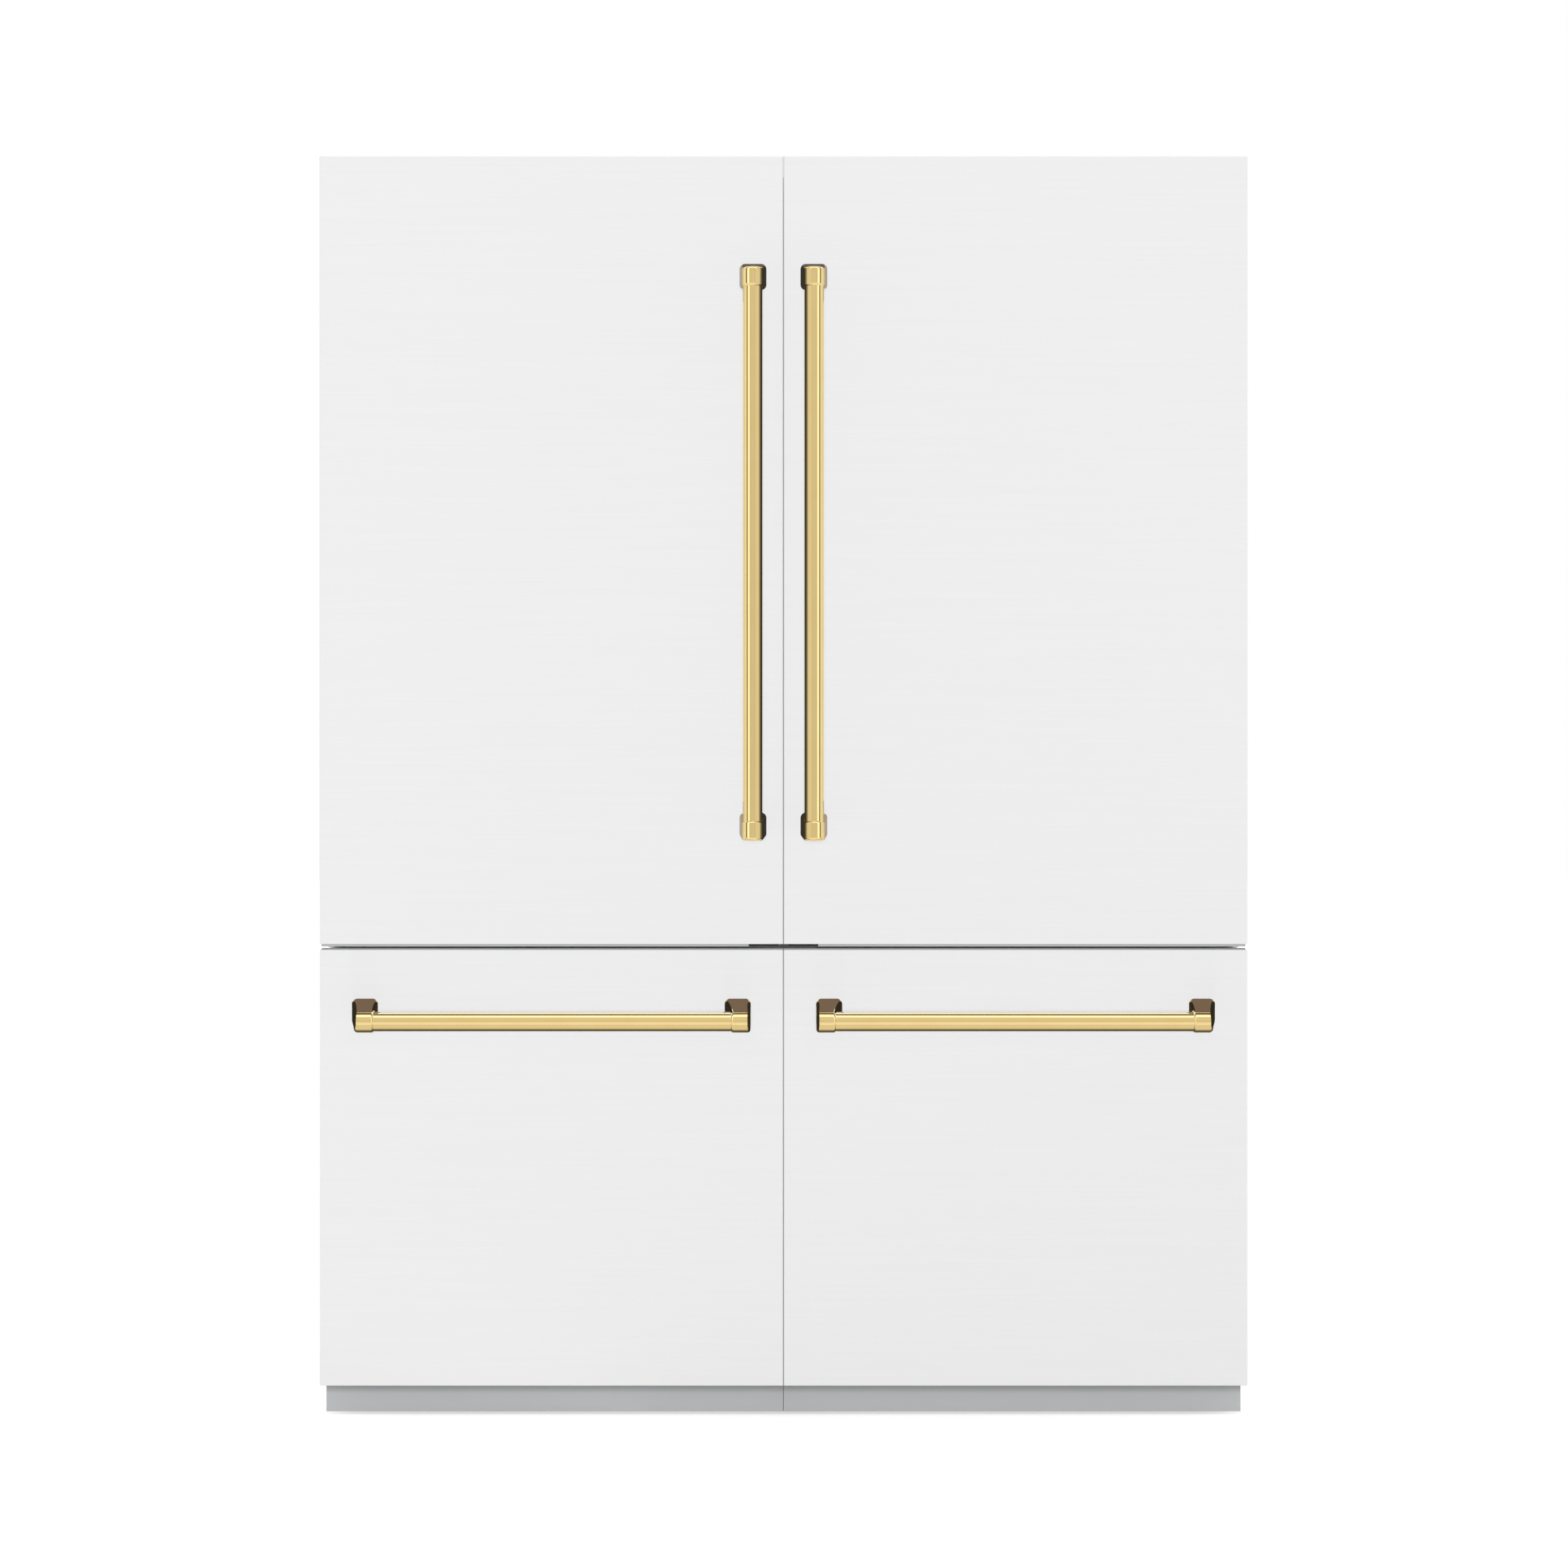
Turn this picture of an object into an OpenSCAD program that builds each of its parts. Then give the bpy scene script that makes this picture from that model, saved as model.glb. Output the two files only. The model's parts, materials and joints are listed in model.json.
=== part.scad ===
// French door refrigerator made of two columns that stand side by side.
// Each column has one swing door above one freezer drawer. The right column is
// drawn from the middle seam at x = 0 outwards, and the left one is its mirror
// image. +Z is up, the doors face -Y, and the origin is on the floor under the
// middle of the whole appliance.

/* [Overall] */
// Width over both columns
total_w = 1524; // [1510:2:1540]
// Height from the floor to the top of the doors
total_h = 2075; // [2065:1:2085]
// Depth of the cabinet behind the doors
cabinet_d = 542; // [540:1:550]
// Gap between the two cabinets
column_gap = 13; // [11:1:15]

/* [Doors and drawer fronts] */
// Width of the seam between the two upper doors
seam_w = 2; // [1:0.5:3]
// Bottom edge of the drawer front
drawer_low = 56; // [55:0.5:58]
// Top edge of the drawer front
drawer_high = 772; // [770:0.5:773]
// Gap between the drawer front and the upper door
door_gap = 9.3; // [9:0.1:10]
// Depth of the folded front panel
panel_t = 20; // [18:1:22]
// Thickness of the panel's sheet metal
panel_skin = 1.5; // [1.2:0.1:1.8]
// Thickness of the insulated door behind the panel
door_t = 55; // [52:1:58]
// Space between the closed door and the cabinet, filled by the gasket
seal_gap = 8; // [7.5:0.1:8.5]

/* [Handles] */
// Diameter of the handle bar
bar_d = 31.5; // [28:0.5:33]
// Distance from the panel to the front of the handle
handle_reach = 66; // [62:1:70]
// Width of a handle post at its foot, across the bar
post_w = 44; // [42:1:46]
// Width of a handle post at its foot, along the bar
post_l = 43; // [40:1:45]
// Outer diameter of the collar that holds the bar
collar_d = 35.5; // [35:0.5:37]
// Length of the collar along the bar
collar_l = 32.5; // [28:0.5:34]
// Height of the upright handle's lower post
post_low = 976; // [970:0.1:985]
// Height of the upright handle's upper post
post_high = 1876.6; // [1865:0.1:1885]
// Distance from the middle seam to the upright handle
handle_inset = 50; // [45:1:55]
// Height of the middle of the drawer handle's feet
drawer_handle_z = 670; // [660:1:680]
// Distance from each end of the drawer front to the nearer post
drawer_post_inset = 75; // [70:1:80]
// Distance of the upright bar's collars below the middle of the posts' feet
door_bar_drop = 7.5; // [0:0.5:9]
// Distance of the level bar below the middle of the posts' feet
drawer_bar_drop = 12.5; // [0:0.5:14]
// Distance of the level bar's collars from the middle of the posts' feet, towards the seam
drawer_bar_shift = 5; // [0:0.5:6]

/* [Cabinet] */
// Thickness of the cabinet's sheet metal
sheet = 1.5; // [1.2:0.1:1.8]
// Thickness of the moulded liners
liner_t = 2; // [1.8:0.1:2.2]
// Distance from the cabinet's side to the inside of the liner
side_wall = 50; // [49:0.5:51]
// Distance from the cabinet's back to the inside of the liner
rear_wall = 55; // [54:0.5:56]
// Height of the cabinet's underside above the floor
base_h = 60; // [59.5:0.5:60.5]
// Floor of the freezer compartment
freezer_low = 110; // [109:0.5:112]
// Ceiling of the freezer compartment
freezer_high = 746; // [745:0.5:747]
// Floor of the fresh food compartment
fridge_low = 806; // [805.5:0.5:806]
// Distance from the cabinet's top to the ceiling of the fresh food compartment
ceiling_wall = 39; // [38.5:0.5:39.5]
// Height of the machine compartment above the cabinet's underside
bay_h = 240; // [236:1:244]
// Depth of the machine compartment
bay_d = 190; // [188:1:192]

/* [Inside] */
// Heights of the glass shelves, lowest first
shelf_heights = [1250, 1480, 1720];
// Depth of a glass shelf
shelf_d = 345; // [335:1:350]
// Height of a crisper drawer
crisper_h = 192; // [180:2:196]
// Heights of the door bins, lowest first
bin_heights = [850, 1150, 1450, 1750];
// Depth of a door bin
bin_d = 108; // [100:1:109]
// Height of a door bin's front wall
bin_h = 92; // [80:2:100]
// Height of the freezer basket
basket_h = 292; // [280:2:292]
// Height of the sliding tray above the basket
tray_h = 110; // [100:2:114]

/* [Hidden] */

$fn = 48;
eps = 0.5;              // overshoot of a cut past the face that it opens
fit = 0.2;              // gap between a boss and the shell around it
run = 0.05;             // radial clearance of a turning or sliding fit

white = "#ededed";
liner_white = "#f4f5f5";
gold = "#d2b980";
grey = "#a3a3a3";
dark = "#3a3c3e";
steel = "#b9bcbf";
foam = "#efe6c8";
clear = "#cfe3e8";
black = "#1d1e20";

// Depth direction, from the front of the handles to the back of the cabinet
column_w = total_w / 2;
total_d = cabinet_d + seal_gap + door_t + panel_t + handle_reach;
y_back = total_d / 2;
y_case = y_back - cabinet_d;
y_door = y_case - seal_gap;
y_panel_back = y_door - door_t;
y_face = y_panel_back - panel_t;
y_bar = y_face - handle_reach + collar_d / 2;
y_bay = y_back - bay_d;

// Cabinet and its compartments: [low, high] pairs along each direction
case_top = total_h - 15;
case_x = [column_gap / 2, column_w - column_gap / 2];
liner_x = [case_x[0] + side_wall, case_x[1] - side_wall];
unit_mid = (liner_x[0] + liner_x[1]) / 2;
liner_back = y_back - rear_wall;
fridge_z = [fridge_low, case_top - ceiling_wall];
freezer_z = [freezer_low, freezer_high];
bay_top = base_h + bay_h;
step_z = bay_top + 30;
step_y = y_bay - 40;
lip_w = 10;
lip_y = y_case + sheet;

// Fronts
panel_x = [seam_w / 2, column_w];
door_panel_z = [drawer_high + door_gap, total_h];
drawer_panel_z = [drawer_low, drawer_high];
body_x = [8, column_w - 8];
door_body_z = [door_panel_z[0] + 5.7, case_top - 1];
drawer_body_z = [drawer_low + 8, drawer_high - 6];
gasket_w = 14;
gasket_x = [case_x[0] + side_wall - 6.5 - gasket_w, case_x[1] - side_wall + 5.5 + gasket_w];
door_gasket_z = [door_body_z[0] + 2, fridge_z[1] + 6 + gasket_w];
drawer_gasket_z = [freezer_low - 6 - gasket_w, drawer_body_z[1] - 2];

// Hinge
hinge_x = column_w - 22;
hinge_y = y_case - 33;
pin_r = 5;
pin_l = 22;
hinge_plate = 5;

// Shelves, bins and drawers
shelf_y = [-90, -90 + shelf_d];
shelf_x = [liner_x[0] + 1.5, liner_x[1] - 1.5];
frame_t = 12;
frame_w = 14;
glass_t = 5;
crisper_top = fridge_low + crisper_h + 8;
dike_w = 18;
dike_d = 55;
bin_x = [liner_x[0] + 51.5, liner_x[1] - 50.5];
bin_wall = 3;
rail_z = [400, 445];
rail_y = [lip_y + 5, liner_back - 40];
basket_x = [liner_x[0] + 20.5, liner_x[1] - 20.5];
basket_y = [y_door + 4.5, step_y - 10];
basket_top = 410;
tray_x = [liner_x[0] + 12.5, liner_x[1] - 12.5];
tray_y = [basket_y[0], basket_y[0] + 300];
tray_low = 449.3;
box_wall = 2.5;

// Machine compartment
deck_t = 2;
deck_z = base_h + deck_t;
fan_x = case_x[0] + 372;
fan_y = y_bay + bay_d / 2;
fan_z = base_h + 110;
fan_r = 68;
shaft_r = 4;
fin_t = 2;
fin_pitch = 10;
fin_count = 20;
foot_x = case_x[0] + 24;
foot_y = y_case + 30;
roller_r = 20;
roller_y = y_back - 45;
axle_r = 4;

// ---------------------------------------------------------------- helpers

module block(x, y, z) {
    translate([x[0], y[0], z[0]]) cube([x[1] - x[0], y[1] - y[0], z[1] - z[0]]);
}

function grow(pair, by) = [pair[0] - by, pair[1] + by];

// Draws its children in the right column and mirrored in the left one
module both_columns() {
    children();
    mirror([1, 0, 0]) children();
}

module left_column() {
    mirror([1, 0, 0]) children();
}

// Draws its children at one side of a column and mirrored at its other side
module both_walls() {
    children();
    translate([2 * unit_mid, 0, 0]) mirror([1, 0, 0]) children();
}

// Round bar along X, Y or Z, from one end to the other
module bar_x(x, y, z, r) {
    translate([x[0], y, z]) rotate([0, 90, 0]) cylinder(h = x[1] - x[0], r = r);
}

module bar_y(x, y, z, r) {
    translate([x, y[0], z]) rotate([-90, 0, 0]) cylinder(h = y[1] - y[0], r = r);
}

module bar_z(x, y, z, r) {
    translate([x, y, z[0]]) cylinder(h = z[1] - z[0], r = r);
}

// Rectangular ring in the XZ plane
module ring_xz(x, y, z, w) {
    difference() {
        block(x, y, z);
        block(grow(x, -w), grow(y, eps), grow(z, -w));
    }
}

// Open-topped box with a wall of one thickness
module open_box(x, y, z, wall_t) {
    difference() {
        block(x, y, z);
        block(grow(x, -wall_t), grow(y, -wall_t), [z[0] + wall_t, z[1] + eps]);
    }
}

// ---------------------------------------------------------------- cabinet

// Sheet-metal shell with a front frame that has one opening for each compartment,
// and a compartment for the machinery at the lower back
module casing() {
    difference() {
        block(case_x, [y_case, y_back], [base_h, case_top]);
        difference() {
            block(grow(case_x, -sheet), [lip_y, y_back - sheet], [base_h + sheet, case_top - sheet]);
            block(grow(case_x, eps), [y_bay - sheet, y_back], [base_h - eps, bay_top + sheet]);
        }
        block(grow(case_x, -sheet), [y_bay, y_back + eps], [base_h - eps, bay_top]);
        block(grow(liner_x, liner_t), [y_case - eps, lip_y + eps], grow(fridge_z, liner_t));
        block(grow(liner_x, liner_t), [y_case - eps, lip_y + eps], grow(freezer_z, liner_t));
        block(service_x, [y_back - sheet - eps, y_back + eps], service_z);
        top_bolt_holes(case_top - sheet - eps);
    }
}

// Bolt holes that fix the cabinet to the wall or the joinery
bolt_r = 3.25;
bolt_x = 200;
bolt_y = 120;
bolt_depth = 20;
top_mid_y = 200;

module top_bolt_holes(z_low) {
    for (dx = [-bolt_x / 2, bolt_x / 2])
        for (dy = [-bolt_y / 2, bolt_y / 2])
            bar_z(unit_mid + dx, top_mid_y + dy, [z_low, case_top + eps], bolt_r);
}

// Recess at the back for the water and power inlets
service_x = [case_x[0] + 560, case_x[0] + 690];
service_z = [345, 425];
service_d = 42;
cup_wall = 2;
service_y = [y_back - service_d, y_back];

module left_casing() color(white) left_column() casing();
module right_casing() color(white) casing();

// Moulded ledge along both side walls
module ledge(y, z_top) {
    both_walls()
        block([liner_x[0] - eps, liner_x[0] + 11], y, [z_top - 8, z_top]);
}

module liner_shell(z) {
    block(grow(liner_x, liner_t), [lip_y, liner_back + liner_t], grow(z, liner_t));
    block(grow(liner_x, liner_t + lip_w), [lip_y, lip_y + liner_t], grow(z, liner_t + lip_w));
}

module fridge_liner() {
    difference() {
        liner_shell(fridge_z);
        block(liner_x, [lip_y - eps, liner_back], fridge_z);
    }
    for (z = concat([crisper_top], shelf_heights))
        ledge(shelf_y, z);
}

module fridge_liners() color(liner_white) both_columns() fridge_liner();

// The freezer's floor steps up over the machine compartment
module freezer_liner() {
    difference() {
        liner_shell(freezer_z);
        difference() {
            block(liner_x, [lip_y - eps, liner_back], freezer_z);
            block(grow(liner_x, eps), [step_y, liner_back + eps], [freezer_low - eps, step_z]);
        }
        block(grow(liner_x, liner_t + eps), [step_y + liner_t, liner_back + liner_t + eps],
              [freezer_low - liner_t - eps, step_z - liner_t]);
    }
}

module freezer_liners() color(liner_white) both_columns() freezer_liner();

module foam_block() {
    difference() {
        block(grow(case_x, -sheet), [lip_y, y_back - sheet], [base_h + sheet, case_top - sheet]);
        block(case_x, [y_bay - sheet, y_back], [base_h, bay_top + sheet]);
        liner_shell(fridge_z);
        difference() {
            liner_shell(freezer_z);
            block(grow(liner_x, liner_t + eps), [step_y + liner_t, y_back], [base_h, step_z - liner_t]);
        }
        block(service_x, service_y, service_z);
        top_bolt_holes(case_top - bolt_depth);
    }
}

module insulation() color(foam) both_columns() foam_block();

// Channels that tie the two cabinets together at the front and the back
module joining_strips() {
    channel_d = 24;
    channel_t = 1.5;
    color(grey)
        for (y = [y_case + 2, y_back - 60])
            difference() {
                block([-column_gap / 2, column_gap / 2], [y, y + channel_d], [base_h + 4, case_top - 4]);
                block([channel_t - column_gap / 2, column_gap / 2 - channel_t],
                      [y + channel_t, y + channel_d + eps], [base_h, case_top]);
            }
}

// ---------------------------------------------------------------- base

toe_y = y_case - 35;
toe_t = 2;
channel_w = 30;

module toe_kick() {
    toe_x = [seam_w / 4, column_w - 4.7];
    block(toe_x, [toe_y, toe_y + toe_t], [5, base_h - 2]);
    block(toe_x, [toe_y, y_case + 4], [base_h - 4, base_h - 2]);
    block(toe_x, [y_case + 4 - toe_t, y_case + 4], [28, base_h - 2]);
}

module toe_kicks() color(grey) both_columns() toe_kick();

// Channel open at the bottom, with a closed front end and a nut for the levelling foot
module base_channel() {
    channel_x = [foot_x - channel_w / 2, foot_x + channel_w / 2];
    difference() {
        block(channel_x, [y_case + 4, y_back - 6], [22, base_h]);
        block(grow(channel_x, -2), [y_case + 6, y_back], [22 - eps, base_h - 2]);
    }
    difference() {
        block(grow(channel_x, -2), [foot_y - 13, foot_y + 13], [46, 56]);
        bar_z(foot_x, foot_y, [46 - eps, 56 + eps], 5 + run);
    }
    bar_x(grow(channel_x, -1), roller_y, roller_r, axle_r);
}

module base_frame() {
    both_walls() base_channel();
    block([foot_x + channel_w / 2, 2 * unit_mid - foot_x - channel_w / 2], [y_case + 70, y_case + 110],
          [36, base_h]);
    block(grow(case_x, -sheet), [y_bay, y_back - 6], [base_h, deck_z]);
}

module base_frames() color(steel) both_columns() base_frame();

module levelling_feet() {
    color(dark) both_columns() both_walls() {
        bar_z(foot_x, foot_y, [0, 8], 20);
        bar_z(foot_x, foot_y, [8 - eps, 57], 5);
    }
}

module rear_rollers() {
    roller_w = 22;
    color(dark) both_columns() both_walls()
        translate([foot_x - roller_w / 2, roller_y, roller_r])
            rotate([0, 90, 0])
                difference() {
                    cylinder(h = roller_w, r = roller_r);
                    translate([0, 0, -eps]) cylinder(h = roller_w + 2 * eps, r = axle_r + run);
                }
}

// ---------------------------------------------------------------- hinges

module top_hinge() {
    plate_z = [case_top, case_top + hinge_plate];
    tail_y = y_case + 95;
    screw_y = [y_case + 20, y_case + 50, y_case + 80];
    bar_z(hinge_x, hinge_y, plate_z, 14);
    block([hinge_x - 14, hinge_x + 14], [hinge_y, y_case + 25], plate_z);
    block([hinge_x - 60, hinge_x + 14], [y_case + 5, tail_y], plate_z);
    bar_z(hinge_x, hinge_y, [door_body_z[1] - pin_l, case_top + eps], pin_r);
    for (y = screw_y)
        bar_z(hinge_x - 35, y, [plate_z[1] - eps, plate_z[1] + 3], 5);
}

module top_hinges() color(steel) both_columns() top_hinge();

// Bracket on the cross rail between the compartments; its pin carries the door
module lower_hinge() {
    plate_z = [door_body_z[0] - 13, door_body_z[0] - 8];
    bar_z(hinge_x, hinge_y, plate_z, 14);
    block([hinge_x - 14, hinge_x + 14], [hinge_y, y_case], plate_z);
    block([hinge_x - 45, case_x[1] - 2], [y_case - 4, y_case], [plate_z[0] - 8, plate_z[1] + 4]);
    bar_z(hinge_x, hinge_y, [plate_z[1] - eps, door_body_z[0] - 0.3], 9);
    bar_z(hinge_x, hinge_y, [plate_z[1], door_body_z[0] + pin_l], pin_r);
}

module lower_hinges() color(steel) both_columns() lower_hinge();

// ---------------------------------------------------------------- doors

// Folded sheet-metal front: a face with four returns
module front_panel(z) {
    difference() {
        block(panel_x, [y_face, y_panel_back], z);
        block(grow(panel_x, -panel_skin), [y_face + panel_skin, y_panel_back + eps],
              grow(z, -panel_skin));
    }
}

// Insulated slab with a boss that fills the front panel
module front_body(panel_z, body_z) {
    block(body_x, [y_panel_back, y_door], body_z);
    block(grow(panel_x, -panel_skin - fit), [y_face + panel_skin, y_panel_back + eps],
          grow(panel_z, -panel_skin - fit));
}

module door_panel() color(white) front_panel(door_panel_z);

module door_body() {
    glide_z = [door_panel_z[0] - 3.5, door_body_z[0] + eps];
    dike_z = [bin_heights[0] - 20, fridge_z[1] - 60];
    color(liner_white) {
        difference() {
            front_body(door_panel_z, door_body_z);
            bar_z(hinge_x, hinge_y, [door_body_z[0] - eps, door_body_z[0] + pin_l + 3], pin_r + run);
            bar_z(hinge_x, hinge_y, [door_body_z[1] - pin_l - 3, door_body_z[1] + eps], pin_r + run);
        }
        block([bin_x[0] - dike_w, bin_x[0]], [y_door - eps, y_door + dike_d], dike_z);
        block([bin_x[1], bin_x[1] + dike_w], [y_door - eps, y_door + dike_d], dike_z);
    }
    color(black)
        block([body_x[0], 57], [y_panel_back, y_door - 12], glide_z);
}

module door_gasket() color(grey) ring_xz(gasket_x, [y_door, y_case - 0.3], door_gasket_z, gasket_w);

module door_bin(z) {
    open_box(bin_x, [y_door, y_door + bin_d], [z, z + bin_h], bin_wall);
}

module door_bins() {
    color(clear)
        for (z = bin_heights)
            door_bin(z);
}

// Post that narrows from a rounded foot on the panel to the collar around the bar.
// It is drawn with the foot at the origin, standing along -Y, and the bar leaves it
// along +Z. The collar is moved by side_drop along X and by end_drop along Z.
module handle_post(side_drop, end_drop) {
    foot_t = 3;
    corner = 6;
    cap_t = 2;
    difference() {
        hull() {
            for (dx = [-1, 1])
                for (dz = [-1, 1])
                    translate([dx * (post_w / 2 - corner), 0, dz * (post_l / 2 - corner)])
                        rotate([90, 0, 0])
                            cylinder(h = foot_t, r = corner, $fn = 24);
            translate([side_drop, y_bar - y_face, end_drop - collar_l / 2])
                cylinder(h = collar_l, r = collar_d / 2, $fn = 32);
        }
        translate([side_drop, y_bar - y_face, end_drop + cap_t - collar_l / 2])
            cylinder(h = post_l, r = bar_d / 2 + run);
    }
}

module door_handle_posts() {
    color(gold) {
        translate([handle_inset, y_face, post_low]) handle_post(0, -door_bar_drop);
        translate([handle_inset, y_face, post_high]) mirror([0, 0, 1]) handle_post(0, door_bar_drop);
    }
}

// The bar reaches into both collars
bar_overlap = collar_l / 2 - 3;

module door_handle_bar() {
    color(gold)
        bar_z(handle_inset, y_bar, [post_low - door_bar_drop - bar_overlap,
              post_high - door_bar_drop + bar_overlap], bar_d / 2);
}

// ---------------------------------------------------------------- drawers

drawer_post_x = [drawer_post_inset, column_w - drawer_post_inset];

module drawer_panel() color(white) front_panel(drawer_panel_z);
module drawer_body() color(liner_white) front_body(drawer_panel_z, drawer_body_z);
module drawer_gasket() color(grey) ring_xz(gasket_x, [y_door, y_case - 0.3], drawer_gasket_z, gasket_w);

module drawer_handle_posts() {
    color(gold) {
        translate([drawer_post_x[0], y_face, drawer_handle_z])
            rotate([0, 90, 0]) handle_post(drawer_bar_drop, -drawer_bar_shift);
        translate([drawer_post_x[1], y_face, drawer_handle_z])
            rotate([0, -90, 0]) handle_post(-drawer_bar_drop, drawer_bar_shift);
    }
}

module drawer_handle_bar() {
    color(gold)
        bar_x([drawer_post_x[0] - drawer_bar_shift - bar_overlap,
               drawer_post_x[1] - drawer_bar_shift + bar_overlap], y_bar,
              drawer_handle_z - drawer_bar_drop, bar_d / 2);
}

// Slides in three stages. Heights are measured from the outer rail's lower edge.
rail_t = 2.5;
rail_lip = 8;

module outer_rail() {
    difference() {
        block([liner_x[0], liner_x[0] + rail_lip], rail_y, rail_z);
        block([liner_x[0] + rail_t, liner_x[0] + rail_lip + eps], grow(rail_y, eps), grow(rail_z, -3));
    }
}

module slide_outer_rails() color(steel) both_columns() both_walls() outer_rail();

module slide_middle_rails() {
    color(steel) both_walls()
        block([liner_x[0] + 3.1, liner_x[0] + 7.9], [rail_y[0], rail_y[1] - 10], grow(rail_z, -3.5));
}

// The inner rails carry the basket on a lower ledge and the tray on an upper one
module slide_inner_rails() {
    web_x = [liner_x[0] + 8.5, liner_x[0] + 10.5];
    ledge_x = [web_x[0], liner_x[0] + 19.5];
    inner_y = [y_door, rail_y[1] - 5];
    color(steel) both_walls() {
        block(web_x, inner_y, [basket_top - 6, tray_low - 0.3]);
        block(ledge_x, inner_y, [basket_top - 6, basket_top - 3]);
        block(ledge_x, inner_y, [tray_low - 3.3, tray_low - 0.3]);
    }
}

module freezer_basket() {
    rim_x = [basket_x[0] - 8, basket_x[1] + 8];
    color(clear)
        difference() {
            union() {
                block(basket_x, basket_y, [basket_top - basket_h, basket_top]);
                block(rim_x, basket_y, [basket_top - 3, basket_top]);
            }
            block(grow(basket_x, -box_wall), grow(basket_y, -box_wall),
                  [basket_top - basket_h + box_wall, basket_top + eps]);
        }
}

module freezer_tray() {
    color(clear) open_box(tray_x, tray_y, [tray_low, tray_low + tray_h], box_wall);
}

// ---------------------------------------------------------------- inside

// Frame with a rabbet that holds the glass
module shelf_frame(z) {
    difference() {
        block(shelf_x, shelf_y, [z, z + frame_t]);
        block(grow(shelf_x, -frame_w), grow(shelf_y, -frame_w), [z - eps, z + frame_t + eps]);
        block(grow(shelf_x, -frame_w / 2), grow(shelf_y, -frame_w / 2), [z + frame_t - glass_t,
              z + frame_t + eps]);
    }
}

module shelf_pane(z) {
    block(grow(shelf_x, -frame_w / 2), grow(shelf_y, -frame_w / 2), [z + frame_t - glass_t, z + frame_t]);
}

all_shelves = concat([crisper_top], shelf_heights);

module shelf_frames() color(steel) both_columns() for (z = all_shelves) shelf_frame(z);
module shelf_glass() color(clear) both_columns() for (z = all_shelves) shelf_pane(z);

module crisper() {
    crisper_x = [liner_x[0] + 3, unit_mid - 2];
    crisper_y = [shelf_y[0] + 5, shelf_y[1] - 10];
    open_box(crisper_x, crisper_y, [fridge_low, fridge_low + crisper_h], bin_wall);
    block([crisper_x[0] + 60, crisper_x[1] - 60], [crisper_y[0] - 12, crisper_y[0]],
          [fridge_low + crisper_h - 30, fridge_low + crisper_h - 10]);
}

module crisper_drawers() color(clear) both_columns() both_walls() crisper();

// Panel on the rear wall with slots for the chilled air
module air_duct() {
    duct_x = [unit_mid - 80, unit_mid + 80];
    duct_z = [crisper_top + 25, fridge_z[1]];
    slot_z = [for (z = shelf_heights) z + 150];
    difference() {
        block(duct_x, [shelf_y[1] + 6, liner_back], duct_z);
        for (z = slot_z)
            for (step = [0:3])
                block(grow(duct_x, -25), [shelf_y[1] + 5, shelf_y[1] + 16],
                      [z + step * 14, z + step * 14 + 7]);
    }
}

module air_ducts() color(liner_white) both_columns() air_duct();

module light_strips() {
    color("#fbfbf4") both_columns() both_walls()
        block([liner_x[0], liner_x[0] + 6], [y_case + 12, y_case + 32],
              [fridge_low + 60, fridge_z[1] - 50]);
}

module control_panels() {
    panel_d = [y_case + 12, y_case + 137];
    color(dark) both_columns()
        block([unit_mid - 131, unit_mid + 131], panel_d, [fridge_z[1] - 36, fridge_z[1]]);
}

// Water dispenser on the wall beside the middle seam
tap_y = [-150, -92];
tap_z = [1560, 1680];
tap_x = [liner_x[0], liner_x[0] + 24];
button_y = (tap_y[0] + tap_y[1]) / 2;
button_z = 1595;
stem_r = 5;
button_gap = 4.6;
button_t = 4;

module dispenser_housing() {
    nozzle_z = [tap_z[1] - 42, tap_z[1] - 12];
    difference() {
        block(tap_x, tap_y, tap_z);
        block([tap_x[0] + 6, tap_x[1] + eps], grow(tap_y, -8), [nozzle_z[0] - 12, nozzle_z[1]]);
        bar_x([tap_x[0] + 3, tap_x[1] + eps], button_y, button_z, stem_r + run);
    }
    bar_z(tap_x[0] + 15, button_y, [nozzle_z[0], nozzle_z[1] + eps], 6);
}

module dispenser_housings() color(grey) both_columns() dispenser_housing();

module water_button() {
    pad_x = [tap_x[1] + button_gap, tap_x[1] + button_gap + button_t];
    color(steel) {
        block(pad_x, [button_y - 20, button_y + 20], [button_z - 20, button_z + 20]);
        bar_x([tap_x[0] + 12, pad_x[0] + eps], button_y, button_z, stem_r);
    }
}

// Ice maker with a row of moulds and its cover, hung from the freezer's ceiling
module ice_maker() {
    maker_x = [unit_mid + 60, liner_x[1] - 12];
    maker_y = [step_y - 5, liner_back - 2];
    maker_z = [freezer_high - 136, freezer_high];
    mould_count = 7;
    mould_pitch = (maker_x[1] - maker_x[0] - 24) / mould_count;
    difference() {
        block(maker_x, maker_y, maker_z);
        block(grow(maker_x, -8), [maker_y[0] + 8, maker_y[1] - 60], [maker_z[0] + 50, freezer_high + eps]);
        for (i = [0 : mould_count - 1])
            block([maker_x[0] + 12 + i * mould_pitch + 2, maker_x[0] + 12 + (i + 1) * mould_pitch - 2],
                  [maker_y[0] + 14, maker_y[1] - 66], [maker_z[0] + 20, maker_z[0] + 50 + eps]);
    }
}

module ice_makers() color(liner_white) both_columns() ice_maker();

// ---------------------------------------------------------------- machinery

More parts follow.
